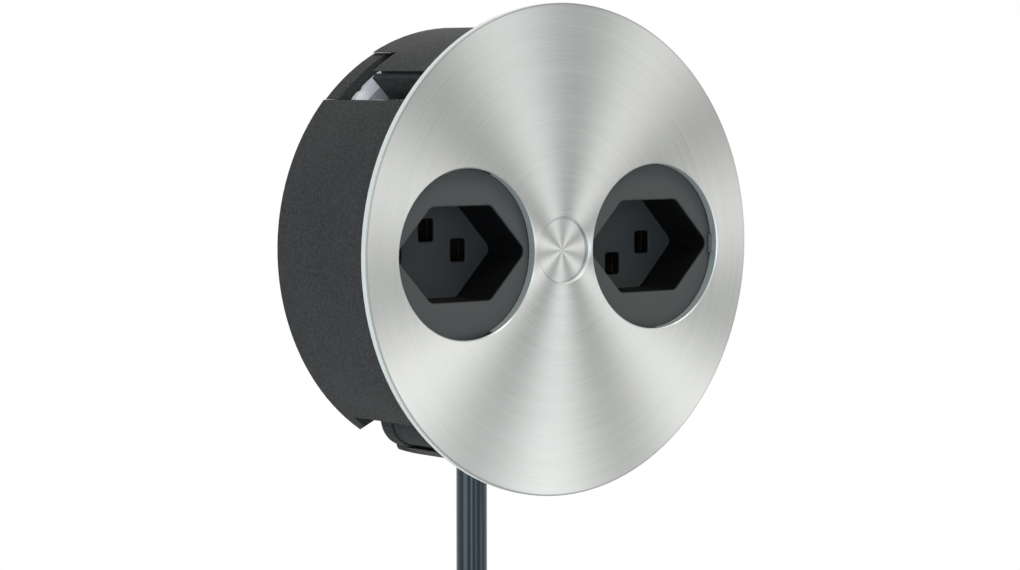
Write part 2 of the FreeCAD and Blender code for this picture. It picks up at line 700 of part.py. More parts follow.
def rear_notch(name, front):
    """The cutter of the notch at a screw post, whose sides rise towards the front."""
    sketch = outline(
        doc.addObject("Sketcher::SketchObject", name + "_outline"),
        [
            ("-notch_reach", "notch_above - notch_reach * tan(notch_slope)"),
            ("-notch_corner", "notch_above - notch_corner * tan(notch_slope)"),
            ("notch_foot", "-notch_reach"),
            ("-notch_reach", "-notch_reach"),
        ],
    )
    cutter = doc.addObject("Part::Extrusion", name)
    cutter.Base = sketch
    cutter.DirMode = "Custom"
    cutter.Dir = FreeCAD.Vector(0, 0, 1)
    cutter.Solid = True
    bind(cutter, {"Dir.y": "notch_rise", "LengthFwd": f"(({front}) - {REAR} + 1) * sqrt(1 + notch_rise^2)"})
    return put(cutter, "-post_across", "-post_down - notch_rise", f"{REAR} - 1")


# Housing: one moulding, a round wall and a front deck, with claw windows, screw posts and bosses.
shell = turned(
    "shell_turned",
    [
        ("0", DECK_FRONT),
        ("wall_inner", DECK_FRONT),
        ("wall_inner", "seat_relief - cover_gap"),
        ("body_radius", "seat_relief - cover_gap"),
        ("body_radius", f"{REAR} + body_chamfer"),
        ("body_radius - body_chamfer", REAR),
        ("wall_inner", REAR),
        ("wall_inner", DECK_BACK),
        ("0", DECK_BACK),
    ],
)
window_front = level("window_depth")
past_rear = f"({REAR} - 1)"
windows = []
for side in ("left", "right"):
    claw_window = block(
        side + "_claw_window",
        "-body_radius - 2",
        "-pivot_across + 2",
        "claw_low",
        "claw_high",
        level("claw_slot_depth + 1"),
        window_front,
    )
    claw_slot = block(
        side + "_claw_slot",
        "-body_radius - 2",
        "-pivot_across / 2",
        "claw_low",
        "claw_slot_high",
        past_rear,
        level("claw_slot_depth"),
    )
    post_window = block(
        side + "_post_window",
        "-body_radius - 2",
        "-post_across + 2",
        "-post_window_low",
        "-post_window_high",
        level("post_window_end"),
        window_front,
    )
    cutter = fuse(side + "_windows", [claw_window, claw_slot, post_window])
    windows.append(other_side(cutter) if side == "right" else cutter)
# The windows are cut through the wall only, so a core the size of the hollow is taken out of the cutters.
wall_cutters = cut(
    "wall_windows",
    fuse("all_windows", windows),
    rod("hollow_core", "wall_inner - 1", f"{past_rear} - 1", f"{window_front} + 1"),
)

ribs = []
for side in ("left", "right"):
    post = rod(
        side + "_post",
        "post_radius",
        level("lug_front_depth"),
        f"{DECK_BACK} + 1",
        "-post_across",
        "-post_down",
    )
    bay_wall = doc.addObject("Part::Box", side + "_bay_wall")
    bind(
        bay_wall,
        {
            "Length": "bay_wall_long",
            "Width": "rib_wall",
            "Height": f"({DECK_BACK} + 1) - {level('claw_slot_depth')}",
        },
    )
    put(
        bay_wall,
        "-bay_wall_start * cos(bay_wall_angle)",
        "bay_wall_start * sin(bay_wall_angle)",
        level("claw_slot_depth"),
        "-bay_wall_slope",
    )
    claw_boss = rod(
        side + "_claw_post",
        "claw_post",
        f"{DECK_BACK} - claw_post_tall",
        f"{DECK_BACK} + 1",
        "-pivot_across",
        "pivot_up",
    )
    made = fuse(side + "_ribs", [post, bay_wall, claw_boss])
    ribs.append(other_side(made) if side == "right" else made)
hub_boss = rod("hub_boss_rod", "hub_boss", bush_back, f"{DECK_BACK} + 1")
clamp_top = level("lead_depth + clamp_split")
pillars = [
    rod(f"clamp_pillar_{side}", "clamp_pillar", clamp_top, f"{DECK_BACK} + 1", x, "-clamp_down")
    for side, x in (("left", "-clamp_screw_across"), ("right", "clamp_screw_across"))
]
saddle = block(
    "clamp_saddle",
    "-clamp_screw_across",
    "clamp_screw_across",
    "-clamp_down - clamp_tall / 2",
    "-clamp_down + clamp_tall / 2",
    level("lead_depth - lead_radius - piece_gap"),
    f"{DECK_BACK} + 1",
)
block_pillar = rod(
    "block_pillar",
    "pillar_radius",
    level("block_front_depth - piece_gap"),
    f"{DECK_BACK} + 1",
    "0",
    "-block_down - block_tall / 2",
)

holes = []
for side in ("left", "right"):
    face_seat = rod(
        side + "_face_seat",
        "face_radius + piece_gap",
        f"{FACE} - face_thick",
        f"{DECK_FRONT} + 1",
        "-socket_offset",
    )
    socket_hole = rod(
        side + "_socket_hole",
        "neck_radius + piece_gap",
        f"{DECK_BACK} - 1",
        f"{DECK_FRONT} + 1",
        "-socket_offset",
    )
    head_hole = rod(
        side + "_head_hole",
        "claw_screw_head + head_room",
        f"{DECK_FRONT} - claw_screw_sink - claw_screw_head_tall - head_room",
        f"{DECK_FRONT} + 1",
        "-pivot_across",
        "pivot_up",
    )
    shank_hole = rod(
        side + "_shank_hole",
        "claw_screw_shank + screw_running",
        f"{DECK_BACK} - claw_post_tall - 1",
        DECK_FRONT,
        "-pivot_across",
        "pivot_up",
    )
    thread_hole = rod(
        side + "_thread_hole",
        "cover_screw_shank",
        f"{level('lug_front_depth')} - 1",
        f"{level('lug_back_depth')} + cover_screw_long + 1",
        "-post_across",
        "-post_down",
    )
    lug_room = rod(
        side + "_lug_room",
        "lug_radius + piece_gap",
        past_rear,
        level("lug_front_depth"),
        "-post_across",
        "-post_down",
    )
    notch = rear_notch(side + "_wall_notch", level("notch_depth"))
    made = fuse(
        side + "_holes",
        [face_seat, socket_hole, head_hole, shank_hole, thread_hole, lug_room, notch],
    )
    holes.append(other_side(made) if side == "right" else made)
bush_hole = rod("bush_hole", "bush_outer + press_gap", f"{bush_back} - 1", f"{DECK_FRONT} + 1")
clamp_holes = [
    rod(
        f"clamp_hole_{side}",
        "clamp_screw_shank",
        f"{clamp_top} - 1",
        f"{clamp_top} + clamp_screw_long",
        x,
        "-clamp_down",
    )
    for side, x in (("left", "-clamp_screw_across"), ("right", "clamp_screw_across"))
]
outlet = doc.addObject("Part::Cylinder", "outlet_hole")
bind(outlet, {"Radius": "grommet_radius + press_gap", "Height": "body_wall + 6"})
put(outlet, "0", "-wall_inner + 3", level("lead_depth"), "90", (1, 0, 0))

housing_open = cut("housing_open", shell, wall_cutters)
housing_full = fuse("housing_full", [housing_open, *ribs, hub_boss, *pillars, saddle, block_pillar])
finish(
    cut("housing_cut", housing_full, fuse("housing_holes", [*holes, bush_hole, *clamp_holes, outlet])),
    "housing",
)

# Rear cover: a plate inside the wall, two tabs that close the claw slots, and two lugs on the screw posts.
plate_front = f"({REAR} + plate_thickness)"
cover_parts = [rod("rear_plate", "wall_inner - piece_gap", REAR, plate_front)]
cover_holes = []
for side in ("left", "right"):
    tab = common(
        side + "_tab",
        cut(
            side + "_tab_ring",
            rod(side + "_tab_outer", "tab_outer", REAR, level("tab_front_depth")),
            rod(
                side + "_tab_hole",
                "tab_outer - tab_thickness",
                f"{REAR} - 1",
                f"{level('tab_front_depth')} + 1",
            ),
        ),
        block(
            side + "_tab_reach",
            "-body_radius",
            "0",
            "claw_low + tab_gap",
            "claw_slot_high - tab_gap",
            REAR,
            level("tab_front_depth"),
        ),
    )
    lug = rod(
        side + "_lug",
        "lug_radius",
        f"{plate_front} - 1",
        level("lug_front_depth"),
        "-post_across",
        "-post_down",
    )
    joined = fuse(side + "_rear_parts", [tab, lug])
    notch = rear_notch(side + "_plate_notch", level("lug_back_depth"))
    head_room = rod(
        side + "_lug_head_room",
        "cover_screw_head + piece_gap",
        f"{REAR} - 1",
        level("lug_back_depth"),
        "-post_across",
        "-post_down",
    )
    screw_hole = rod(
        side + "_lug_screw_hole",
        "cover_screw_shank + piece_gap",
        f"{REAR} - 1",
        f"{level('lug_front_depth')} + 1",
        "-post_across",
        "-post_down",
    )
    claw_shank_hole = rod(
        side + "_plate_shank_hole",
        "claw_screw_shank + screw_running",
        f"{REAR} - 1",
        f"{plate_front} + 1",
        "-pivot_across",
        "pivot_up",
    )
    opened = fuse(side + "_rear_holes", [notch, head_room, screw_hole, claw_shank_hole])
    cover_parts.append(other_side(joined) if side == "right" else joined)
    cover_holes.append(other_side(opened) if side == "right" else opened)
finish(
    cut("rear_cover_cut", fuse("rear_cover_full", cover_parts), fuse("rear_cover_holes", cover_holes)),
    "rear_cover",
)


def slotted_screw(name, shank, head, head_tall, seat, towards, long, x, y, turn="0"):
    """A screw along the axis: its head stands on the seat, its shank goes the other way from towards."""
    if towards == "rear":
        head_low, head_high = f"{seat} - {head_tall}", seat
        shank_low, shank_high = seat, f"{seat} + {long}"
        slot_low, slot_high = f"{seat} - {head_tall} - 1", f"{seat} - {head_tall} + slot_deep"
    else:
        head_low, head_high = seat, f"{seat} + {head_tall}"
        shank_low, shank_high = f"{seat} - ({long})", seat
        slot_low, slot_high = f"{seat} + {head_tall} - slot_deep", f"{seat} + {head_tall} + 1"
    bar = fuse(
        name + "_bar",
        [
            rod(name + "_head", head, head_low, head_high, x, y),
            rod(name + "_shank", shank, shank_low, shank_high, x, y),
        ],
    )
    slot = block(
        name + "_slot",
        f"{x} - {head} - 1",
        f"{x} + {head} + 1",
        f"{y} - slot_wide / 2",
        f"{y} + slot_wide / 2",
        slot_low,
        slot_high,
    )
    return cut(name, bar, slot)


rear_screws = []
for side, sign in (("left", "-1"), ("right", "1")):
    rear_screws.append(
        slotted_screw(
            side + "_rear_screw",
            "cover_screw_shank",
            "cover_screw_head",
            "cover_screw_head_tall",
            level("lug_back_depth"),
            "rear",
            "cover_screw_long",
            f"{sign} * post_across",
            f"{sign} * post_down",
        )
    )
finish(group("rear_screw_pair", rear_screws), "rear_cover_screws")

# Claws: a hooked plate with a bevelled outer edge that swings out about its screw.
claw_front = level("claw_front_depth")
claw_back = level("claw_front_depth + claw_thickness")
for side in ("left", "right"):
    hub = rod(side + "_claw_hub", "claw_hub", claw_back, claw_front, "-pivot_across", "pivot_up")
    boss = rod(
        side + "_claw_thread",
        "claw_boss",
        f"{claw_back} - claw_boss_long",
        claw_front,
        "-pivot_across",
        "pivot_up",
    )
    arm = prism(
        side + "_claw_arm",
        [
            ("-claw_heel_out", "claw_heel_up"),
            ("-claw_heel_out - 3", "claw_heel_up + 2"),
            ("claw_tip_out - 3", "claw_tip_up + 3"),
            ("claw_tip_out", "claw_tip_up"),
            ("claw_throat_out", "claw_throat_up"),
            ("claw_throat_out", "-claw_hub / 2"),
            ("0", "-claw_hub / 2"),
            ("-claw_hub + 0.6", "0"),
        ],
        claw_back,
        claw_front,
        "-pivot_across",
        "pivot_up",
    )
    reach = turned(
        side + "_claw_reach",
        [
            ("0", claw_front),
            ("claw_reach - claw_bevel", claw_front),
            ("claw_reach", f"{claw_front} - claw_bevel"),
            ("claw_reach", f"{claw_back} - claw_boss_long - 1"),
            ("0", f"{claw_back} - claw_boss_long - 1"),
        ],
    )
    claw = cut(
        side + "_claw_bored",
        common(side + "_claw_trimmed", fuse(side + "_claw_full", [hub, boss, arm]), reach),
        rod(
            side + "_claw_bore",
            "claw_screw_shank + screw_running",
            past_rear,
            f"{claw_front} + 1",
            "-pivot_across",
            "pivot_up",
        ),
    )
    half_turn = FreeCAD.Placement(
        FreeCAD.Vector(0, 0, 0), FreeCAD.Rotation(FreeCAD.Vector(0, 0, 1), 180 if side == "right" else 0)
    )
    finish(claw, "claw_" + side, half_turn)
    head_seat = f"({DECK_FRONT} - claw_screw_sink - claw_screw_head_tall)"
    screw = slotted_screw(
        side + "_claw_screw",
        "claw_screw_shank",
        "claw_screw_head",
        "claw_screw_head_tall",
        head_seat,
        "front",
        f"{head_seat} - {REAR} - claw_screw_spare",
        "-pivot_across",
        "pivot_up",
    )
    finish(screw, "claw_screw_" + side, half_turn)

# Socket inserts: a round face with a six-sided plug recess, three pin holes and contact chambers behind.
# Each is pushed in from the front until its face seats in the deck and its two lugs snap behind it.
face_back = f"({FACE} - face_thick)"
neck_back = f"({FACE} - face_thick - neck_long)"
recess_floor = f"({FACE} - recess_depth)"
chamber_front = f"({recess_floor} - chamber_floor)"
block_back = level("chamber_depth")
PIN_PLACES = [("pin_pitch", "0"), ("-pin_pitch", "0"), ("0", "earth_offset")]


def six_sided(extra):
    """The plug recess's outline, grown all round by a wall."""
    run = "(recess_half_long - recess_half_flat)"
    slope = f"sqrt(recess_half_tall^2 + {run}^2)"
    slope_out = f"({extra}) * {slope} / recess_half_tall"
    flat_out = f"({extra}) * ({slope} - {run}) / recess_half_tall"
    apex = f"recess_half_long + {slope_out}"
    flat = f"recess_half_flat + {flat_out}"
    top = f"recess_half_tall + {extra}"
    return [
        (f"-({apex})", "0"),
        (f"-({flat})", f"-({top})"),
        (flat, f"-({top})"),
        (apex, "0"),
        (flat, top),
        (f"-({flat})", top),
    ]


def rectangle(x, y, wide, tall):
    return [
        (f"{x} - ({wide}) / 2", f"{y} - ({tall}) / 2"),
        (f"{x} + ({wide}) / 2", f"{y} - ({tall}) / 2"),
        (f"{x} + ({wide}) / 2", f"{y} + ({tall}) / 2"),
        (f"{x} - ({wide}) / 2", f"{y} + ({tall}) / 2"),
    ]


def socket_insert(side):
    insert = body_of(side + "_insert")
    face_sketch = circles(
        sketch_on(insert, "XY_Plane", side + "_face_circle", face_back),
        [("0", "0", "face_radius")],
    )
    pad(insert, face_sketch, side + "_face_pad", "face_thick")
    doc.recompute()
    neck_sketch = circles(
        sketch_on(insert, "XY_Plane", side + "_neck_circle", neck_back),
        [("0", "0", "neck_radius")],
    )
    pad(insert, neck_sketch, side + "_neck_pad", "neck_long")
    doc.recompute()
    snap_sketch = outline(
        sketch_on(insert, "XY_Plane", side + "_snap_outline", f"{DECK_BACK} - snap_gap - snap_tall"),
        rectangle("0", "0", "snap_wide", "2 * neck_radius + 2 * snap_proud"),
    )
    pad(insert, snap_sketch, side + "_snap_pad", "snap_tall")
    doc.recompute()
    cup_sketch = outline(
        sketch_on(insert, "XY_Plane", side + "_cup_outline", chamber_front),
        six_sided("recess_wall"),
    )
    pad(insert, cup_sketch, side + "_cup_pad", f"{neck_back} - {chamber_front}")
    doc.recompute()
    trim_sketch = circles(
        sketch_on(insert, "XY_Plane", side + "_trim_circles", neck_back),
        [("0", "0", "neck_radius"), ("0", "0", "2 * neck_radius")],
    )
    pocket(insert, trim_sketch, side + "_trim", f"{neck_back} - {chamber_front}")
    doc.recompute()
    block_sketch = outline(
        sketch_on(insert, "XY_Plane", side + "_chamber_outline", block_back),
        rectangle("0", "0", "chamber_block_wide", "chamber_block_tall"),
    )
    pad(insert, block_sketch, side + "_chamber_pad", f"{chamber_front} - {block_back}")
    doc.recompute()
    recess = pocket(
        insert,
        outline(sketch_on(insert, "XY_Plane", side + "_recess_outline", FACE), six_sided("0")),
        side + "_recess",
        "recess_depth",
    )
    doc.recompute()
    floor_level = number_of(recess_floor)
    face_level = number_of(FACE)
    corners = edges_where(
        recess,
        lambda edge: len(edge.Vertexes) == 2
        and abs(min(v.Z for v in edge.Vertexes) - floor_level) < 1e-4
        and abs(max(v.Z for v in edge.Vertexes) - face_level) < 1e-4,
    )
    rounded = insert.newObject("PartDesign::Fillet", side + "_recess_corners")
    rounded.Base = (recess, corners)
    bind(rounded, {"Radius": "recess_corner"})
    doc.recompute()
    lips = edges_where(
        rounded,
        lambda edge: at_level(edge, face_level)
        and edge.BoundBox.DiagonalLength < 2 * number_of("face_radius"),
    )
    lip = insert.newObject("PartDesign::Fillet", side + "_recess_lip")
    lip.Base = (rounded, lips)
    bind(lip, {"Radius": "recess_lip"})
    doc.recompute()
    rims = edges_where(
        lip,
        lambda edge: hasattr(edge.Curve, "Radius")
        and abs(edge.Curve.Radius - number_of("face_radius")) < 1e-4
        and at_level(edge, face_level),
    )
    rim = insert.newObject("PartDesign::Fillet", side + "_face_rim")
    rim.Base = (lip, rims)
    bind(rim, {"Radius": "face_round"})
    doc.recompute()
    for number, (x, y) in enumerate(PIN_PLACES):
        hole = pocket(
            insert,
            outline(
                sketch_on(insert, "XY_Plane", f"{side}_pin_outline_{number}", recess_floor),
                rectangle(x, y, "pin_hole_wide", "pin_hole_tall"),
            ),
            f"{side}_pin_hole_{number}",
            "chamber_floor + 1",
        )
        doc.recompute()
        uprights = edges_where(
            hole,
            lambda edge: abs(edge.BoundBox.ZLength - number_of("chamber_floor + 1")) < 1e-4
            and abs(edge.CenterOfMass.x - number_of(x)) < number_of("pin_hole_wide")
            and abs(edge.CenterOfMass.y - number_of(y)) < number_of("pin_hole_tall"),
        )
        softened = insert.newObject("PartDesign::Fillet", f"{side}_pin_corners_{number}")
        softened.Base = (hole, uprights)
        bind(softened, {"Radius": "pin_corner"})
        doc.recompute()
        lips = edges_where(
            softened,
            lambda edge: at_level(edge, floor_level)
            and abs(edge.CenterOfMass.x - number_of(x)) < number_of("pin_hole_wide")
            and abs(edge.CenterOfMass.y - number_of(y)) < number_of("pin_hole_tall")
            and edge.Length < number_of("pin_hole_tall") + 0.01,
        )
        bevel = insert.newObject("PartDesign::Chamfer", f"{side}_pin_bevel_{number}")
        bevel.Base = (softened, lips)
        bind(bevel, {"Size": "pin_bevel"})
        doc.recompute()
    for number, (x, y) in enumerate(PIN_PLACES):
        chamber = insert.newObject("PartDesign::Pocket", f"{side}_chamber_{number}")
        chamber.Profile = outline(
            sketch_on(insert, "XY_Plane", f"{side}_chamber_outline_{number}", block_back),
            rectangle(x, y, "chamber_wide", "chamber_wide"),
        )
        chamber.Reversed = True
        bind(chamber, {"Length": f"{chamber_front} - {block_back}"})
        doc.recompute()
    insert.Tip = chamber
    return insert


SOCKET_SIDES = [("left", "-1", 0), ("right", "1", 180)]
for side, sign, turn in SOCKET_SIDES:
    place = FreeCAD.Placement(
        FreeCAD.Vector(number_of(f"{sign} * socket_offset"), 0, 0),
        FreeCAD.Rotation(FreeCAD.Vector(0, 0, 1), turn),
    )
    finish(socket_insert(side), "socket_" + side, place)

# Spring contacts: each is one bent brass strip that grips a pin, riveted to its busbar.
BARS = [("line", "line_bar_depth"), ("neutral", "neutral_bar_depth"), ("earth", "earth_bar_depth")]
CONTACT_PLACES = {"line": PIN_PLACES[0], "neutral": PIN_PLACES[1], "earth": PIN_PLACES[2]}
for side, sign, turn in SOCKET_SIDES:
    for pole, bar_depth in BARS:
        foot = level(bar_depth)
        tip = level("contact_tip_depth")
        x, y = CONTACT_PLACES[pole]
        middle = f"(-socket_offset + {x})"
        throat = f"({tip} - contact_throat * ({tip} - {foot}))"
        shoulder = f"({tip} - contact_shoulder * ({tip} - {foot}))"
        right_half = [
            ("contact_half", foot),
            ("contact_half", shoulder),
            ("contact_neck + contact_sheet", throat),
            ("contact_half", tip),
            ("contact_half - contact_sheet", tip),
            ("contact_neck", throat),
            ("contact_half - contact_sheet", shoulder),
            ("contact_half - contact_sheet", f"{foot} + contact_sheet"),
        ]
        strip = outline(
            doc.addObject("Sketcher::SketchObject", f"{side}_{pole}_strip"),
            [(f"{middle} + ({across})", height) for across, height in right_half]
            + [(f"{middle} - ({across})", height) for across, height in reversed(right_half)],
        )
        strip.Placement = FreeCAD.Placement(
            FreeCAD.Vector(0, 0, 0), FreeCAD.Rotation(FreeCAD.Vector(1, 0, 0), 90)
        )
        contact = doc.addObject("Part::Extrusion", f"{side}_{pole}_contact")
        contact.Base = strip
        contact.DirMode = "Custom"
        contact.Dir = FreeCAD.Vector(0, 1, 0)
        contact.Solid = True
        bind(contact, {"LengthFwd": "contact_wide"})
        put(contact, "0", f"{y} - contact_wide / 2", "0")
        half_turn = FreeCAD.Placement(
            FreeCAD.Vector(0, 0, 0),
            FreeCAD.Rotation(FreeCAD.Vector(0, 0, 1), turn),
        )
        finish(contact, f"contact_{pole}_{side}", half_turn)

# Busbars: three flat strips, each in its own layer, that join like contacts and end in the terminal block.
tail_end = "-block_down - block_tall / 2"
half_bar = "bar_width / 2"
half_tail = "tail_width / 2"
pin_inner = "(socket_offset - pin_pitch)"
pin_outer = "(socket_offset + pin_pitch)"
BAR_OUTLINES = {
    "line": [
        (f"-{pin_inner} - {half_bar}", f"-{half_bar}"),
        (f"-pole_pitch - {half_tail}", f"-{half_bar}"),
        (f"-pole_pitch - {half_tail}", tail_end),
        (f"-pole_pitch + {half_tail}", tail_end),
        (f"-pole_pitch + {half_tail}", f"-{half_bar}"),
        (f"{pin_inner} + {half_bar}", f"-{half_bar}"),
        (f"{pin_inner} + {half_bar}", half_bar),
        (f"-{pin_inner} - {half_bar}", half_bar),
    ],
    "neutral": [
        (f"-{pin_outer} - {half_bar}", f"-{half_bar}"),
        (f"-{pin_outer} + {half_bar}", f"-{half_bar}"),
        (f"-{pin_outer} + {half_bar}", f"neutral_bar_up - {half_bar}"),
        (f"pole_pitch - {half_tail}", f"neutral_bar_up - {half_bar}"),
        (f"pole_pitch - {half_tail}", tail_end),
        (f"pole_pitch + {half_tail}", tail_end),
        (f"pole_pitch + {half_tail}", f"neutral_bar_up - {half_bar}"),
        (f"{pin_outer} - {half_bar}", f"neutral_bar_up - {half_bar}"),
        (f"{pin_outer} - {half_bar}", f"-{half_bar}"),
        (f"{pin_outer} + {half_bar}", f"-{half_bar}"),
        (f"{pin_outer} + {half_bar}", f"neutral_bar_up + {half_bar}"),
        (f"-{pin_outer} - {half_bar}", f"neutral_bar_up + {half_bar}"),
    ],
    "earth": [
        (f"-socket_offset - {half_bar}", f"earth_offset - {half_bar}"),
        (f"-{half_tail}", f"earth_offset - {half_bar}"),
        (f"-{half_tail}", tail_end),
        (half_tail, tail_end),
        (half_tail, f"-earth_offset - {half_bar}"),
        (f"socket_offset + {half_bar}", f"-earth_offset - {half_bar}"),
        (f"socket_offset + {half_bar}", f"-earth_offset + {half_bar}"),
        (half_tail, f"-earth_offset + {half_bar}"),
        (half_tail, f"earth_offset + {half_bar}"),
        (f"-socket_offset - {half_bar}", f"earth_offset + {half_bar}"),
    ],
}
for pole, bar_depth in BARS:
    finish(
        prism(f"{pole}_bar", BAR_OUTLINES[pole], level(f"{bar_depth} + bar_thickness"), level(bar_depth)),
        f"busbar_{pole}",
    )

# Terminal block: a moulded block with a brass cage and a clamping screw for each pole.
POLES = [("line", "-pole_pitch"), ("earth", "0"), ("neutral", "pole_pitch")]
block_middle = "(-block_down - block_tall / 2)"
block_cutters = []
cages = []
terminal_screws = []
for pole, x in POLES:
    block_cutters.append(
        block(
            pole + "_cage_room",
            f"{x} - cage_wide / 2 - piece_gap",
            f"{x} + cage_wide / 2 + piece_gap",
            "-block_down - block_tall - 1",
            "-block_down + 1",
            level("cage_back_depth + piece_gap"),
            level("cage_front_depth - piece_gap"),
        )
    )
    block_cutters.append(
        rod(
            pole + "_screw_room",
            "terminal_screw_head + piece_gap",
            level("block_back_depth + 1"),
            level("cage_back_depth"),
            x,
            block_middle,
        )
    )
    cages.append(
        cut(
            pole + "_cage",
            block(
                pole + "_cage_block",
                f"{x} - cage_wide / 2",
                f"{x} + cage_wide / 2",
                f"{block_middle} - cage_tall / 2",
                f"{block_middle} + cage_tall / 2",
                level("cage_back_depth"),
                level("cage_front_depth"),
            ),
            fuse(
                pole + "_cage_cutters",
                [
                    block(
                        pole + "_cage_window",
                        f"{x} - cage_wide / 2 + cage_wall",
                        f"{x} + cage_wide / 2 - cage_wall",
                        f"{block_middle} - cage_tall",
                        f"{block_middle} + cage_tall",
                        level("cage_back_depth - cage_roof"),
                        level("cage_front_depth + cage_wall"),
                    ),
                    rod(
                        pole + "_cage_thread",
                        "terminal_screw_shank",
                        level("cage_back_depth + 1"),
                        level("cage_back_depth - cage_roof - 1"),
                        x,
                        block_middle,
                    ),
                ],
            ),
        )
    )
    terminal_screws.append(
        slotted_screw(
            pole + "_terminal_screw",
            "terminal_screw_shank",
            "terminal_screw_head",
            "terminal_screw_head_tall",
            level("cage_back_depth + piece_gap"),
            "rear",
            "(cage_roof + piece_gap)",
            f"{x}",
            block_middle,
        )
    )
finish(
    cut(
        "block_cut",
        block(
            "block_full",
            "-block_wide / 2",
            "block_wide / 2",
            "-block_down - block_tall",
            "-block_down",
            level("block_back_depth"),
            level("block_front_depth"),
        ),
        fuse("block_cutters", block_cutters),
    ),
    "terminal_block",
)
finish(group("cage_set", cages), "terminal_cages")
finish(group("terminal_screw_set", terminal_screws), "terminal_screws")

# Cable clamp: a bridge over the lead, screwed to two pillars of the housing.
ear_front = clamp_top
ear_back = f"({clamp_top} - clamp_ear_thick)"
bridge_back = level("lead_depth + lead_radius + clamp_cover_thick")
clamp_low = "(-clamp_down - clamp_tall / 2)"
clamp_high = "(-clamp_down + clamp_tall / 2)"
lead_room = doc.addObject("Part::Cylinder", "lead_room")
bind(lead_room, {"Radius": "lead_radius + press_gap", "Height": "clamp_tall + 2"})
put(lead_room, "0", f"{clamp_high} + 1", level("lead_depth"), "90", (1, 0, 0))
clamp_full = fuse(
    "clamp_full",
    [
        block(
            "clamp_ears",
            "-clamp_half_wide",
            "clamp_half_wide",
            clamp_low,
            clamp_high,
            ear_back,
            ear_front,
        ),
        block(
            "clamp_bridge",
            "-clamp_bridge_half",
            "clamp_bridge_half",
            clamp_low,
            clamp_high,
            bridge_back,
            ear_front,
        ),
    ],
)
clamp_cutters = [lead_room]
clamp_screws = []
for side, x in (("left", "-clamp_screw_across"), ("right", "clamp_screw_across")):
    clamp_cutters.append(
        rod(
            f"{side}_clamp_bore",
            "clamp_screw_shank + piece_gap",
            f"{ear_back} - 1",
            f"{ear_front} + 1",
            x,
            "-clamp_down",
        )
    )
    clamp_screws.append(
        slotted_screw(
            f"{side}_clamp_screw",
            "clamp_screw_shank",
            "clamp_screw_head",
            "clamp_screw_head_tall",
            ear_back,
            "rear",
            "clamp_screw_long",
            x,
            "-clamp_down",
        )
    )
finish(cut("clamp_cut", clamp_full, fuse("clamp_cutters", clamp_cutters)), "cable_clamp")
finish(group("clamp_screw_pair", clamp_screws), "cable_clamp_screws")

# Grommet: a moulded ring in the wall's outlet, with a flange inside.
grommet_in = "(-wall_inner + grommet_gap)"


def upright_rod(name, radius, top, long, depth, x="0"):
    """A round bar that runs down from a height."""
    piece = doc.addObject("Part::Cylinder", name)
    bind(piece, {"Radius": radius, "Height": long})
    return put(piece, x, top, level(depth), "90", (1, 0, 0))


finish(
    cut(
        "grommet_cut",
        common(
            "grommet_trimmed",
            fuse(
                "grommet_full",
                [
                    upright_rod(
                        "grommet_body",
                        "grommet_radius",
                        grommet_in,
                        "body_wall + 2",
                        "lead_depth",
                    ),
                    upright_rod(
                        "grommet_flange_disc",
                        "grommet_flange",
                        f"{grommet_in} + grommet_flange_thick",
                        "grommet_flange_thick",
                        "lead_depth",
                    ),
                ],
            ),
            cut(
                "grommet_limit",
                rod("grommet_limit_disc", "body_radius", REAR, DECK_BACK),
                rod("grommet_plate_room", "wall_inner", REAR, f"{plate_front} + piece_gap"),
            ),
        ),
        upright_rod("grommet_bore", "lead_radius", f"{grommet_in} + 5", "body_wall + 12", "lead_depth"),
    ),
    "cable_grommet",
)


def eased_tube(points, radius):
    """A round tube along straight runs joined by arcs, with each arc as large as its two runs allow."""
    edges = []
    start = points[0]
    expected = 0.0
    for before, corner, after in zip(points, points[1:], points[2:]):
        back = before - corner
        ahead = after - corner
        turn = math.pi - back.getAngle(ahead)
        run = min(back.Length, ahead.Length)
        arc_radius = 0.45 * run / math.tan(turn / 2)
        cut_back = 0.45 * run
        first = corner + FreeCAD.Vector(back).normalize() * cut_back
        last = corner + FreeCAD.Vector(ahead).normalize() * cut_back
        bisector = (FreeCAD.Vector(back).normalize() + FreeCAD.Vector(ahead).normalize()).normalize()
        centre = corner + bisector * (arc_radius / math.cos(turn / 2))
        middle = centre - bisector * arc_radius
        edges.append(Part.LineSegment(start, first).toShape())
        edges.append(Part.Arc(first, middle, last).toShape())
        expected += (first - start).Length + arc_radius * turn
        print(f"bend of {math.degrees(turn):.2f} degrees, radius {arc_radius:.1f} mm")
        start = last
    edges.append(Part.LineSegment(start, points[-1]).toShape())
    expected += (points[-1] - start).Length
    path = Part.Wire(edges)
    direction = points[1] - points[0]
    section = Part.Wire([Part.Circle(points[0], direction, radius).toShape()])
    tube = path.makePipeShell([section], True, False, 2)
    volume = math.pi * radius**2 * expected
    print(f"tube of {expected:.1f} mm: volume {tube.Volume:.1f}, section times length {volume:.1f}")
    return tube


def seen_from_front(x, y, depth):
    """A point given by its place in the front view and its depth, all as words."""
    return FreeCAD.Vector(number_of(x), number_of(y), number_of(level(depth)))


# Supply lead: a round three-core lead, from its clamp through the grommet to its connector.
lead_end = LEAD_ROUTE[-1]
lead_points = [
    seen_from_front(f"{right}", f"-lead_inside - {down}", f"lead_depth + {deeper}")
    for right, down, deeper in LEAD_ROUTE
]
lead = doc.addObject("Part::Feature", "lead_tube")
lead.Shape = eased_tube(lead_points, number_of("lead_radius"))
finish(lead, "supply_lead")

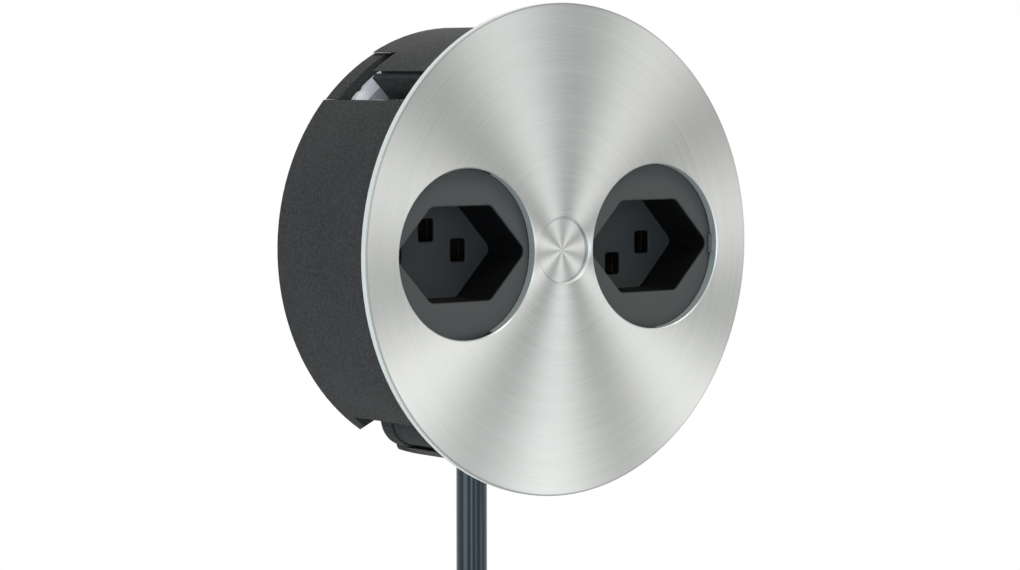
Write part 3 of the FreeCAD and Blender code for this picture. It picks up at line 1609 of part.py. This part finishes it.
# Cores: from the end of the lead's jacket to their cages, each against its own busbar.
CORES = {
    "line": (
        "-core_side",
        "lead_depth - core_front",
        "-pole_pitch",
        "line_bar_depth + bar_thickness + core_gap + core_radius",
    ),
    "neutral": (
        "core_side",
        "lead_depth - core_front",
        "pole_pitch",
        "neutral_bar_depth - core_gap - core_radius",
    ),
    "earth": ("0", "lead_depth + core_behind", "0", "earth_bar_depth - core_gap - core_radius"),
}
for pole, (start_x, start_depth, end_x, end_depth) in CORES.items():
    route = [
        seen_from_front(start_x, "-lead_inside", start_depth),
        seen_from_front(start_x, "-lead_inside + core_straight", start_depth),
        seen_from_front(end_x, "-block_down - block_tall + core_entry - core_straight", end_depth),
        seen_from_front(end_x, "-block_down - block_tall + core_entry", end_depth),
    ]
    core = doc.addObject("Part::Feature", f"{pole}_core")
    core.Shape = eased_tube(route, number_of("core_radius"))
    finish(core, f"core_{pole}")

# Connector: a moulded three-pole plug on the lead's end, with a ribbed neck and a hollow nose round its pins.
lead_x = f"({lead_end[0]})"
lead_tip = f"(-lead_inside - {lead_end[1]})"
lead_tip_depth = f"(lead_depth + {lead_end[2]})"
lead_tip_level = level(lead_tip_depth)
neck_top = f"({lead_tip} + connector_grip)"
connector_top = f"({neck_top} - connector_neck_long)"
neck = doc.addObject("Part::Cone", "connector_neck_cone")
bind(neck, {"Radius1": "connector_neck_end", "Radius2": "connector_neck", "Height": "connector_neck_long"})
put(neck, lead_x, neck_top, lead_tip_level, "90", (1, 0, 0))
shell_box = block(
    "connector_box",
    f"{lead_x} - connector_wide / 2",
    f"{lead_x} + connector_wide / 2",
    f"{connector_top} - connector_long",
    connector_top,
    f"{lead_tip_level} - connector_thick / 2",
    f"{lead_tip_level} + connector_thick / 2",
)
doc.recompute()
shell_round = doc.addObject("Part::Fillet", "connector_rounded")
shell_round.Base = shell_box
shell_round.Edges = [
    (i, number_of("connector_round"), number_of("connector_round"))
    for i, edge in enumerate(shell_box.Shape.Edges, 1)
    if abs(edge.tangentAt(edge.FirstParameter).y) > 0.9
]
nose_top = f"({connector_top} - connector_long)"
nose = cut(
    "connector_nose",
    block(
        "nose_block",
        f"{lead_x} - nose_wide / 2",
        f"{lead_x} + nose_wide / 2",
        f"{nose_top} - nose_long",
        f"{nose_top} + 1",
        f"{lead_tip_level} - nose_thick / 2",
        f"{lead_tip_level} + nose_thick / 2",
    ),
    block(
        "nose_hollow_block",
        f"{lead_x} - nose_wide / 2 + nose_wall",
        f"{lead_x} + nose_wide / 2 - nose_wall",
        f"{nose_top} - nose_long - 1",
        f"{nose_top} - nose_long + nose_hollow",
        f"{lead_tip_level} - nose_thick / 2 + nose_wall",
        f"{lead_tip_level} + nose_thick / 2 - nose_wall",
    ),
)
lead_socket = upright_rod(
    "lead_socket", "lead_radius", f"{neck_top} + 1", "connector_grip + 1", lead_tip_depth, lead_x
)
finish(
    cut("connector_cut", fuse("connector_full", [neck, shell_round, nose]), lead_socket),
    "connector_shell",
)
blade_top = f"({nose_top} - nose_long + nose_hollow)"
blades = [
    upright_rod(
        f"blade_{index}",
        "blade_radius",
        blade_top,
        "blade_long",
        lead_tip_depth,
        f"{lead_x} + {index - 1} * blade_pitch",
    )
    for index in range(3)
]
finish(group("blade_set", blades), "connector_pins")

doc.recompute()
for thing in doc.Objects:
    if "Invalid" in thing.State or "Error" in thing.State:
        raise SystemExit(f"{thing.Name} failed: {thing.State}")
for piece in pieces:
    shape = piece.Shape
    if shape.isNull() or not shape.isValid() or not shape.Solids:
        raise SystemExit(f"{piece.Label} isn't a valid solid")
    shape.exportStep(f"parts/{piece.Label}.step")
print(len(pieces), "pieces written")
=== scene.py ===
import math
import bmesh
import bpy
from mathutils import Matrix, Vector


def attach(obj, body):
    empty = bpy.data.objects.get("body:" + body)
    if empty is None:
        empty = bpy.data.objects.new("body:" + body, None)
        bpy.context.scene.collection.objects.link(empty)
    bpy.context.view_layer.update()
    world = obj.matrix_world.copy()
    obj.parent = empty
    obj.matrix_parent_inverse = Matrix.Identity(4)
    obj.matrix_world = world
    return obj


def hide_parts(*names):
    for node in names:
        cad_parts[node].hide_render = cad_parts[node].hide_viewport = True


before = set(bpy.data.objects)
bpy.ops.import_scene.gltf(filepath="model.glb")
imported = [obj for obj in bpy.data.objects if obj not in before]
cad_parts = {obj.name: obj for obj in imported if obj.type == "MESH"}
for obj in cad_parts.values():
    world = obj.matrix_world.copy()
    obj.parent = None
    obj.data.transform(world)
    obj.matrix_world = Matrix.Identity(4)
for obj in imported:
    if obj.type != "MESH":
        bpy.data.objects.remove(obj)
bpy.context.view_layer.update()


# Housing: one black moulding, a round wall with a front deck, claw windows and screw posts.
# It is moulded in glass-filled plastic against a spark-eroded tool, which leaves it finely grained.
def new_material(name, rough, metal=0.0, gloss=0.5):
    """A material with its own shader, and the nodes that the finish is built from."""
    material = bpy.data.materials.new(name)
    material.use_nodes = True
    tree = material.node_tree
    shader = tree.nodes["Principled BSDF"]
    shader.inputs["Roughness"].default_value = rough
    shader.inputs["Metallic"].default_value = metal
    shader.inputs["Specular IOR Level"].default_value = gloss
    return material, tree, shader


def place(tree):
    """The point on the piece, in metres."""
    return tree.nodes.new("ShaderNodeTexCoord").outputs["Object"]


def noise(tree, where, scale, detail=3.0, rough=0.5):
    """Random cloud, from 0 to 1, with so many cells to the metre."""
    node = tree.nodes.new("ShaderNodeTexNoise")
    node.inputs["Scale"].default_value = scale
    node.inputs["Detail"].default_value = detail
    node.inputs["Roughness"].default_value = rough
    tree.links.new(where, node.inputs["Vector"])
    return node.outputs["Fac"]


def between(tree, factor, low, high, start=0.3, end=0.7):
    """A value that goes from low to high as the factor rises from start to end."""
    node = tree.nodes.new("ShaderNodeMapRange")
    node.inputs["From Min"].default_value = start
    node.inputs["From Max"].default_value = end
    node.inputs["To Min"].default_value = low
    node.inputs["To Max"].default_value = high
    tree.links.new(factor, node.inputs["Value"])
    return node.outputs["Result"]


def tint(tree, factor, dark, light, start=0.3, end=0.7):
    """A colour that goes from dark to light with the factor."""
    node = tree.nodes.new("ShaderNodeValToRGB")
    node.color_ramp.elements[0].position = start
    node.color_ramp.elements[0].color = (*dark, 1.0)
    node.color_ramp.elements[1].position = end
    node.color_ramp.elements[1].color = (*light, 1.0)
    tree.links.new(factor, node.inputs["Fac"])
    return node.outputs["Color"]


def relief(tree, shader, height, deep):
    """Raises the surface by a height in metres."""
    node = tree.nodes.new("ShaderNodeBump")
    node.inputs["Distance"].default_value = deep
    tree.links.new(height, node.inputs["Height"])
    tree.links.new(node.outputs["Normal"], shader.inputs["Normal"])
    return node


def softened(tree, bump, edge):
    """Lets the light roll over the edges as if they were rounded."""
    node = tree.nodes.new("ShaderNodeBevel")
    node.samples = 6
    node.inputs["Radius"].default_value = edge
    tree.links.new(node.outputs["Normal"], bump.inputs["Normal"])


def moulded(name, dark, light, rough, grain_size, grain_deep, gloss=0.5, edge=0.00025):
    """Moulded plastic: a fine tool grain, and a little unevenness in colour and gloss."""
    material, tree, shader = new_material(name, rough, gloss=gloss)
    where = place(tree)
    grain = noise(tree, where, 1.0 / grain_size, 2.0, 0.6)
    cloud = noise(tree, where, 60.0, 3.0)
    tree.links.new(tint(tree, grain, dark, light, 0.38, 0.62), shader.inputs["Base Color"])
    tree.links.new(between(tree, cloud, rough - 0.06, rough + 0.06), shader.inputs["Roughness"])
    softened(tree, relief(tree, shader, grain, grain_deep), edge)
    return material


def dress(node, material):
    """Gives a carried-over node its finish."""
    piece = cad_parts[node]
    piece.data.materials.clear()
    piece.data.materials.append(material)


grained_black = moulded(
    "grained_black",
    dark=(0.036, 0.037, 0.0372),
    light=(0.062, 0.0635, 0.0635),
    rough=0.76,
    grain_size=0.0006,
    grain_deep=0.0004,
    gloss=0.18,
)
dress("housing", grained_black)

# Bush and guide shoes: a ring that the cover's stud turns in, and two arcs that run in its groove.
# Both are natural acetal, the bush pressed into the housing's deck and the shoes standing on it.
acetal = moulded("natural_acetal", (0.66, 0.65, 0.6), (0.74, 0.73, 0.69), 0.4, 0.0008, 0.00001)
dress("pivot_bush", acetal)
dress("guide_shoes", acetal)

# Socket inserts: satin dark grey mouldings with a six-sided plug recess, pushed in from the front.
# The walls of the recess and of the pin holes are painted nearly black, and the recess floor a darker
# grey, as painted shade.
def worked(tree, kind, operation, *values):
    """A maths node of either kind, fed with links and plain values."""
    node = tree.nodes.new(kind)
    node.operation = operation
    for socket, value in zip(node.inputs, values):
        if isinstance(value, bpy.types.NodeSocket):
            tree.links.new(value, socket)
        else:
            socket.default_value = value
    return node.outputs


def blended(tree, factor, first, second):
    """Mixes two colours by a factor."""
    node = tree.nodes.new("ShaderNodeMix")
    node.data_type = "RGBA"
    tree.links.new(factor, node.inputs[0])
    for socket, value in ((node.inputs[6], first), (node.inputs[7], second)):
        if isinstance(value, bpy.types.NodeSocket):
            tree.links.new(value, socket)
        else:
            socket.default_value = (*value, 1.0)
    return node.outputs[2]


def cut_side(tree, edge):
    """1 on walls that run along the axis, 0 on faces that look along it, with a soft edge between."""
    rolled = tree.nodes.new("ShaderNodeBevel")
    rolled.samples = 8
    rolled.inputs["Radius"].default_value = edge
    facing = tree.nodes.new("ShaderNodeSeparateXYZ")
    tree.links.new(rolled.outputs["Normal"], facing.inputs["Vector"])
    upright = worked(tree, "ShaderNodeMath", "ABSOLUTE", facing.outputs["Y"])[0]
    return between(tree, upright, 1.0, 0.0, 0.15, 0.9)


# Painted shade: a darker grey on the recess floor, and near black on the walls of the recess and pin
# holes.
painted_shade_floor_grey = (0.058, 0.061, 0.062)
painted_shade_wall_black = (0.004, 0.004, 0.0045)
recess_floor = 0.01
floor_blend = 0.001
wall_blend = 0.0009
socket_grey = moulded(
    "satin_dark_grey",
    dark=(0.082, 0.085, 0.083),
    light=(0.093, 0.096, 0.093),
    rough=0.5,
    grain_size=0.0004,
    grain_deep=0.00002,
    gloss=0.16,
    edge=0.0006,
)
socket_tree = socket_grey.node_tree
socket_shader = socket_tree.nodes["Principled BSDF"]
satin = socket_shader.inputs["Base Color"].links[0].from_socket
depth = socket_tree.nodes.new("ShaderNodeSeparateXYZ")
socket_tree.links.new(place(socket_tree), depth.inputs["Vector"])
is_floor = between(socket_tree, depth.outputs["Y"], 0.0, 1.0, recess_floor, recess_floor + floor_blend)
floor_in_painted_shade = blended(socket_tree, is_floor, satin, painted_shade_floor_grey)
walls_in_painted_shade = blended(socket_tree, cut_side(socket_tree, wall_blend), floor_in_painted_shade, painted_shade_wall_black)
socket_tree.links.new(walls_in_painted_shade, socket_shader.inputs["Base Color"])
for side in ("left", "right"):
    dress("socket_" + side, socket_grey)


# Contacts and busbars: springs that grip a plug's pins, and the strips that join them pole by pole.
# The contacts are bent from spring bronze, coloured dark as painted shade for the pin holes they sit
# in, and the busbars are stamped from brass strip. The contacts sit in the sockets' chambers, and the
# busbars lie across their tails.
def rolled_metal(name, dark, light, rough):
    """Rolled or cast metal: clouded in colour and gloss, with a very fine surface."""
    material, tree, shader = new_material(name, rough, metal=1.0)
    where = place(tree)
    cloud = noise(tree, where, 180.0, 4.0)
    fine = noise(tree, where, 2500.0, 2.0)
    tree.links.new(tint(tree, cloud, dark, light), shader.inputs["Base Color"])
    tree.links.new(between(tree, cloud, rough - 0.08, rough + 0.1), shader.inputs["Roughness"])
    relief(tree, shader, fine, 0.00001)
    return material


brass = rolled_metal("stamped_brass", (0.38, 0.3, 0.15), (0.54, 0.44, 0.24), 0.34)
# Painted shade: the contacts' bronze is darkened for the pin holes they sit in.
bronze_in_painted_shade = rolled_metal("shaded_spring_bronze", (0.09, 0.078, 0.055), (0.15, 0.13, 0.09), 0.4)
for side in ("left", "right"):
    for pole in ("line", "neutral", "earth"):
        dress(f"contact_{pole}_{side}", bronze_in_painted_shade)
for pole in ("line", "neutral", "earth"):
    dress("busbar_" + pole, brass)

# Terminal block: a block moulded in the housing's plastic, where the lead's cores meet the busbars.
# Each of its three brass cages is closed by a slotted screw of zinc-plated steel.
plated_steel = rolled_metal("zinc_plated_steel", (0.5, 0.5, 0.5), (0.66, 0.66, 0.65), 0.28)
dress("terminal_block", grained_black)
dress("terminal_cages", brass)
dress("terminal_screws", plated_steel)

# Cable clamp and grommet: a bridge that holds the lead, and a ring that lines its way out.
# The bridge is moulded plastic on two plated screws, the ring is black rubber set in the wall.
rubber_black = moulded(
    "moulded_rubber",
    dark=(0.012, 0.012, 0.012),
    light=(0.022, 0.022, 0.022),
    rough=0.6,
    grain_size=0.0006,
    grain_deep=0.00002,
)
dress("cable_clamp", grained_black)
dress("cable_clamp_screws", plated_steel)
dress("cable_grommet", rubber_black)


# Cores: the three insulated wires that run from the lead's end to the terminal block.
# Their insulation is extruded plastic in brown, blue, and green with yellow.
def insulated(name, dark, light):
    """Extruded insulation, clouded between two colours."""
    material, tree, shader = new_material(name, 0.35)
    cloud = noise(tree, place(tree), 400.0, 2.0)
    tree.links.new(tint(tree, cloud, dark, light), shader.inputs["Base Color"])
    relief(tree, shader, cloud, 0.00002)
    return material


dress("core_line", insulated("brown_insulation", (0.1, 0.035, 0.015), (0.13, 0.05, 0.022)))
dress("core_neutral", insulated("blue_insulation", (0.01, 0.05, 0.28), (0.015, 0.07, 0.34)))
dress("core_earth", insulated("green_and_yellow_insulation", (0.03, 0.2, 0.03), (0.75, 0.6, 0.05)))

# Supply lead: a round flex, 7.6 mm thick, held by the clamp and hanging nearly straight down.
# Its jacket is extruded in black plastic, and is so glossy that tall lamps show in it as blue stripes.
lead_diameter = 0.0076
lead_route = [
    (0.0, 0.0336, -0.0382),
    (0.0, 0.0336, -0.0922),
    (0.0013, 0.0345, -0.1422),
    (-0.0006, 0.0339, -0.1902),
    (-0.0006, 0.0339, -0.2382),
]
lead_curve = bpy.data.curves.new("supply_lead_jacket", "CURVE")
lead_curve.dimensions = "3D"
lead_curve.bevel_depth = lead_diameter / 2
lead_curve.bevel_resolution = 10
lead_curve.resolution_u = 24
lead_curve.use_fill_caps = True
lead_line = lead_curve.splines.new("NURBS")
lead_line.points.add(len(lead_route) - 1)
for point, corner in zip(lead_line.points, lead_route):
    point.co = (*corner, 1.0)
lead_line.order_u = 3
lead_line.use_endpoint_u = True
lead = bpy.data.objects.new("supply_lead_jacket", lead_curve)
bpy.context.scene.collection.objects.link(lead)

jacket, jacket_tree, jacket_shader = new_material("glossy_jacket", 0.12)
jacket_shader.inputs["Specular Tint"].default_value = (0.66, 0.84, 1.0, 1.0)
jacket_place = place(jacket_tree)
stretched = jacket_tree.nodes.new("ShaderNodeMapping")
stretched.inputs["Scale"].default_value = (900.0, 900.0, 60.0)
jacket_tree.links.new(jacket_place, stretched.inputs["Vector"])
drawn = noise(jacket_tree, stretched.outputs["Vector"], 1.0, 3.0)
jacket_black = tint(jacket_tree, drawn, (0.008, 0.009, 0.01), (0.013, 0.014, 0.016))
jacket_tree.links.new(jacket_black, jacket_shader.inputs["Base Color"])
jacket_tree.links.new(between(jacket_tree, drawn, 0.09, 0.15), jacket_shader.inputs["Roughness"])
relief(jacket_tree, jacket_shader, drawn, 0.000005)
lead_curve.materials.append(jacket)
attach(lead, "module")
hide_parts("supply_lead")

# Connector: the three-pole plug at the lead's end, by which the module joins its supply.
# The body is moulded on the lead in matt black plastic, with brass pins set in its nose.
dress("connector_shell", grained_black)
dress("connector_pins", brass)

# Claws and their screws: two arms that swing out through the windows and clamp the panel from behind.
# The claws are zinc die castings with a dull pale plating, threaded on long screws of plated steel.
die_cast = rolled_metal("plated_die_cast_zinc", (0.88, 0.87, 0.9), (0.96, 0.95, 0.97), 0.4)
die_cast.node_tree.nodes["Principled BSDF"].inputs["Metallic"].default_value = 0.05
for side in ("left", "right"):
    dress("claw_" + side, die_cast)
    dress("claw_screw_" + side, plated_steel)

# Rear cover: the plate that closes the housing from behind, with tabs that close the claws' windows.
# It is moulded in the same black plastic, and two screws hold it on the housing's posts.
dress("rear_cover", grained_black)
dress("rear_cover_screws", plated_steel)

# Pivot parts: the stud that the cover turns on, and the clip and disc spring that draw it down.
# The stud is plated steel, welded behind the cover; the clip and the spring are hardened spring steel.
dress("pivot_stud", plated_steel)
spring_steel = rolled_metal("spring_steel", (0.16, 0.16, 0.17), (0.24, 0.24, 0.25), 0.32)
dress("retaining_clip", spring_steel)
dress("disc_spring", spring_steel)

# Cover: the round plate that turns in front of the sockets, cut from stainless steel.
# It is turned, then brushed in circles on a turntable; seven soft rays of reflected light are painted
# into its colour.
# The walls of its openings and of its rim are duller than the face.
steel, steel_tree, steel_shader = new_material("circular_brushed_stainless", 0.3, metal=1.0)
steel_shader.inputs["Anisotropic"].default_value = 0.7
round_axis = steel_tree.nodes.new("ShaderNodeTangent")
round_axis.direction_type = "RADIAL"
round_axis.axis = "Y"
steel_tree.links.new(round_axis.outputs["Tangent"], steel_shader.inputs["Tangent"])

# Fine rings, from noise that is stretched along the circles.
ring_fine = 5200.0
ring_broad = 1100.0
ring_deep = 0.000004
turned_tilt = 0.02
ring_arc = 1.6
spot = place(steel_tree)
flattened = worked(steel_tree, "ShaderNodeVectorMath", "MULTIPLY", spot, (1.0, 0.0, 1.0))["Vector"]
radius = worked(steel_tree, "ShaderNodeVectorMath", "LENGTH", flattened)["Value"]
direction = worked(steel_tree, "ShaderNodeVectorMath", "NORMALIZE", flattened)["Vector"]
stretch = (ring_arc, 0.0, ring_arc)
around = worked(steel_tree, "ShaderNodeVectorMath", "MULTIPLY", direction, stretch)["Vector"]


def rings(fineness):
    """Noise in rings, with so many of them to the metre."""
    outward = steel_tree.nodes.new("ShaderNodeCombineXYZ")
    rank = worked(steel_tree, "ShaderNodeMath", "MULTIPLY", radius, fineness)[0]
    steel_tree.links.new(rank, outward.inputs["Y"])
    step = outward.outputs["Vector"]
    polar = worked(steel_tree, "ShaderNodeVectorMath", "ADD", around, step)["Vector"]
    return noise(steel_tree, polar, 1.0, 4.0, 0.65)


strokes = rings(ring_fine)
bands = rings(ring_broad)

# Seven rays of painted reflection, evenly round the axis, mixed with the rings in the colour.
painted_ray_count = 7
painted_ray_turn = math.radians(8.0)
painted_ray_dark = (0.352, 0.36, 0.347)
painted_ray_light = (0.668, 0.678, 0.655)
axes = steel_tree.nodes.new("ShaderNodeSeparateXYZ")
steel_tree.links.new(spot, axes.inputs["Vector"])
turn = worked(steel_tree, "ShaderNodeMath", "ARCTAN2", axes.outputs["Z"], axes.outputs["X"])[0]
first_painted_ray = -painted_ray_count * painted_ray_turn
painted_ray_phase = worked(steel_tree, "ShaderNodeMath", "MULTIPLY_ADD", turn, float(painted_ray_count), first_painted_ray)[0]
painted_ray_wave = worked(steel_tree, "ShaderNodeMath", "COSINE", painted_ray_phase)[0]
strokes_and_painted_rays = worked(steel_tree, "ShaderNodeMath", "MULTIPLY_ADD", strokes, 1.3, painted_ray_wave)[0]
rings_and_painted_rays = worked(steel_tree, "ShaderNodeMath", "MULTIPLY_ADD", bands, 0.6, strokes_and_painted_rays)[0]
ring_and_painted_ray_level = between(steel_tree, rings_and_painted_rays, 0.0, 1.0, -0.3, 2.3)
brushed_and_painted_ray_colour = tint(steel_tree, ring_and_painted_ray_level, painted_ray_dark, painted_ray_light, 0.0, 1.0)

# Painted light and shade on the cover's edges: a thin dark line on the rim's broken edge as a painted
# dark reflection, a pale wall round the rim as painted light, and darker opening walls as painted
# shade.
painted_reflection_dark = (0.08, 0.085, 0.08)
painted_shade_opening_wall = (0.56, 0.6, 0.585)
painted_light_rim_wall = (0.84, 0.88, 0.85)
edge_blend = 0.00015
edge_metal = 0.35
edge_rougher = 0.25
cut_edge = cut_side(steel_tree, edge_blend)
painted_rim_reflection_line = between(steel_tree, radius, 0.0, 0.65, 0.0577, 0.0579)
painted_line_colour = blended(steel_tree, painted_rim_reflection_line, brushed_and_painted_ray_colour, painted_reflection_dark)
rim_band = between(steel_tree, radius, 0.0, 1.0, 0.0572, 0.0575)
wall_colour_with_painted_light = blended(steel_tree, rim_band, painted_shade_opening_wall, painted_light_rim_wall)
cover_colour = blended(steel_tree, cut_edge, painted_line_colour, wall_colour_with_painted_light)
steel_tree.links.new(cover_colour, steel_shader.inputs["Base Color"])
metal_share = between(steel_tree, cut_edge, 1.0, edge_metal, 0.0, 1.0)
steel_tree.links.new(metal_share, steel_shader.inputs["Metallic"])
face_rough = between(steel_tree, strokes, 0.28, 0.4)
rough = worked(steel_tree, "ShaderNodeMath", "MULTIPLY_ADD", cut_edge, edge_rougher, face_rough)[0]
steel_tree.links.new(rough, steel_shader.inputs["Roughness"])

# The rings as relief, on a face that is turned very slightly domed.
ringed = worked(steel_tree, "ShaderNodeMath", "MULTIPLY", strokes, ring_deep)[0]
domed = worked(steel_tree, "ShaderNodeMath", "MULTIPLY_ADD", radius, -turned_tilt, ringed)[0]
relief(steel_tree, steel_shader, domed, 1.0)
dress("cover_disc", steel)

# Stop nose: the small nose in the right opening's wall, on which the cover stops turning.
# It is moulded in dark grey plastic and set in a notch of the wall.
nose_grey = moulded(
    "nose_grey",
    dark=(0.2, 0.21, 0.215),
    light=(0.25, 0.26, 0.265),
    rough=0.45,
    grain_size=0.0004,
    grain_deep=0.00001,
)
dress("cover_stop", nose_grey)

# Studio: a pale matt floor below the hanging lead, a white room, and soft lamps.
# None of it belongs to the module. The floor and the room look white to the camera and in mirrors,
# but add only a plain level of light to the surfaces.
floor_height = -0.31
floor_radius = 1.3
floor_mesh = bpy.data.meshes.new("floor")
floor_form = bmesh.new()
bmesh.ops.create_circle(floor_form, cap_ends=True, segments=96, radius=floor_radius)
floor_form.to_mesh(floor_mesh)
floor_form.free()
floor = bpy.data.objects.new("floor", floor_mesh)
floor.location = (0.0, 0.0, floor_height)
bpy.context.scene.collection.objects.link(floor)
pale, pale_tree, pale_shader = new_material("pale_floor", 0.8)
pale_cloud = noise(pale_tree, place(pale_tree), 3.0)
floor_white = tint(pale_tree, pale_cloud, (0.8, 0.8, 0.8), (0.82, 0.82, 0.82))
pale_tree.links.new(floor_white, pale_shader.inputs["Base Color"])
pale_shader.inputs["Emission Color"].default_value = (1.0, 1.0, 1.0, 1.0)


def seen_or_mirrored(tree):
    """1 for a ray from the camera, a mirror or a pane, 0 for one that only lights a surface."""
    path = tree.nodes.new("ShaderNodeLightPath")
    in_mirror, in_pane, seen = (
        path.outputs[f"Is {ray} Ray"] for ray in ("Glossy", "Transmission", "Camera")
    )
    mirrored = worked(tree, "ShaderNodeMath", "MAXIMUM", in_mirror, in_pane)[0]
    return worked(tree, "ShaderNodeMath", "MAXIMUM", seen, mirrored)[0]


floor_glow = between(pale_tree, seen_or_mirrored(pale_tree), 0.0, 0.4, 0.0, 1.0)
pale_tree.links.new(floor_glow, pale_shader.inputs["Emission Strength"])
floor_mesh.materials.append(pale)

world = bpy.data.worlds.new("white_room")
world.use_nodes = True
bpy.context.scene.world = world
room = world.node_tree
background = room.nodes["Background"]
room_light = between(room, seen_or_mirrored(room), 0.3, 1.0, 0.0, 1.0)
room.links.new(room_light, background.inputs["Strength"])
background.inputs["Color"].default_value = (1.0, 1.0, 1.0, 1.0)


def soft_lamp(name, position, aim, wide, tall, power, colour=(1.0, 1.0, 1.0)):
    """A rectangular lamp that the camera doesn't see."""
    lamp = bpy.data.lights.new(name, "AREA")
    lamp.shape = "RECTANGLE"
    lamp.size = wide
    lamp.size_y = tall
    lamp.energy = power
    lamp.color = colour
    holder = bpy.data.objects.new(name, lamp)
    holder.location = position
    holder.rotation_mode = "QUATERNION"
    holder.rotation_quaternion = (Vector(aim) - Vector(position)).to_track_quat("-Z", "Y")
    holder.visible_camera = False
    bpy.context.scene.collection.objects.link(holder)


# The tall boxes of cool light stand to the left, near the camera and in front, and show as stripes
# in the lead.
cool = (0.68, 0.86, 1.0)
soft_lamp("left_box", (-1.2, -0.04, -0.1), (0.0, 0.0, -0.1), 0.7, 1.0, 5.5, (0.85, 0.93, 1.0))
soft_lamp("camera_box", (-0.68, -0.8, -0.1), (0.0, 0.0, -0.1), 0.24, 1.0, 2.4, cool)
soft_lamp("front_box", (-0.12, -1.09, -0.1), (0.0, 0.0, -0.1), 0.26, 1.0, 1.5, cool)
soft_lamp("top_lamp", (0.15, -0.75, 1.0), (0.0, 0.0, 0.0), 0.45, 0.45, 5.0, (1.0, 0.97, 0.93))
soft_lamp("low_lamp", (0.36, -0.44, -0.24), (0.0, 0.0, -0.04), 0.2, 0.2, 0.16)
soft_lamp("back_lamp", (0.6, 0.9, 0.6), (0.0, 0.0, 0.0), 0.6, 0.6, 2.0)

# Camera: a long lens at the photograph's place, left of the module and a little above its middle.
# Its place and turn were fitted to the rim, the openings, the body and the lead in the photograph.
camera_data = bpy.data.cameras.new("camera")
camera_data.sensor_fit = "HORIZONTAL"
camera_data.sensor_width = 36.0
camera_data.lens = 113.14
camera_data.clip_start = 0.05
camera_data.clip_end = 20.0
camera = bpy.data.objects.new("camera", camera_data)
camera.location = (-0.48486, -0.58041, 0.04337)
camera.rotation_euler = (math.radians(90.0 - 3.91), math.radians(-0.06), math.radians(-38.98))
bpy.context.scene.collection.objects.link(camera)
bpy.context.scene.camera = camera
bpy.context.scene.view_settings.view_transform = "Standard"
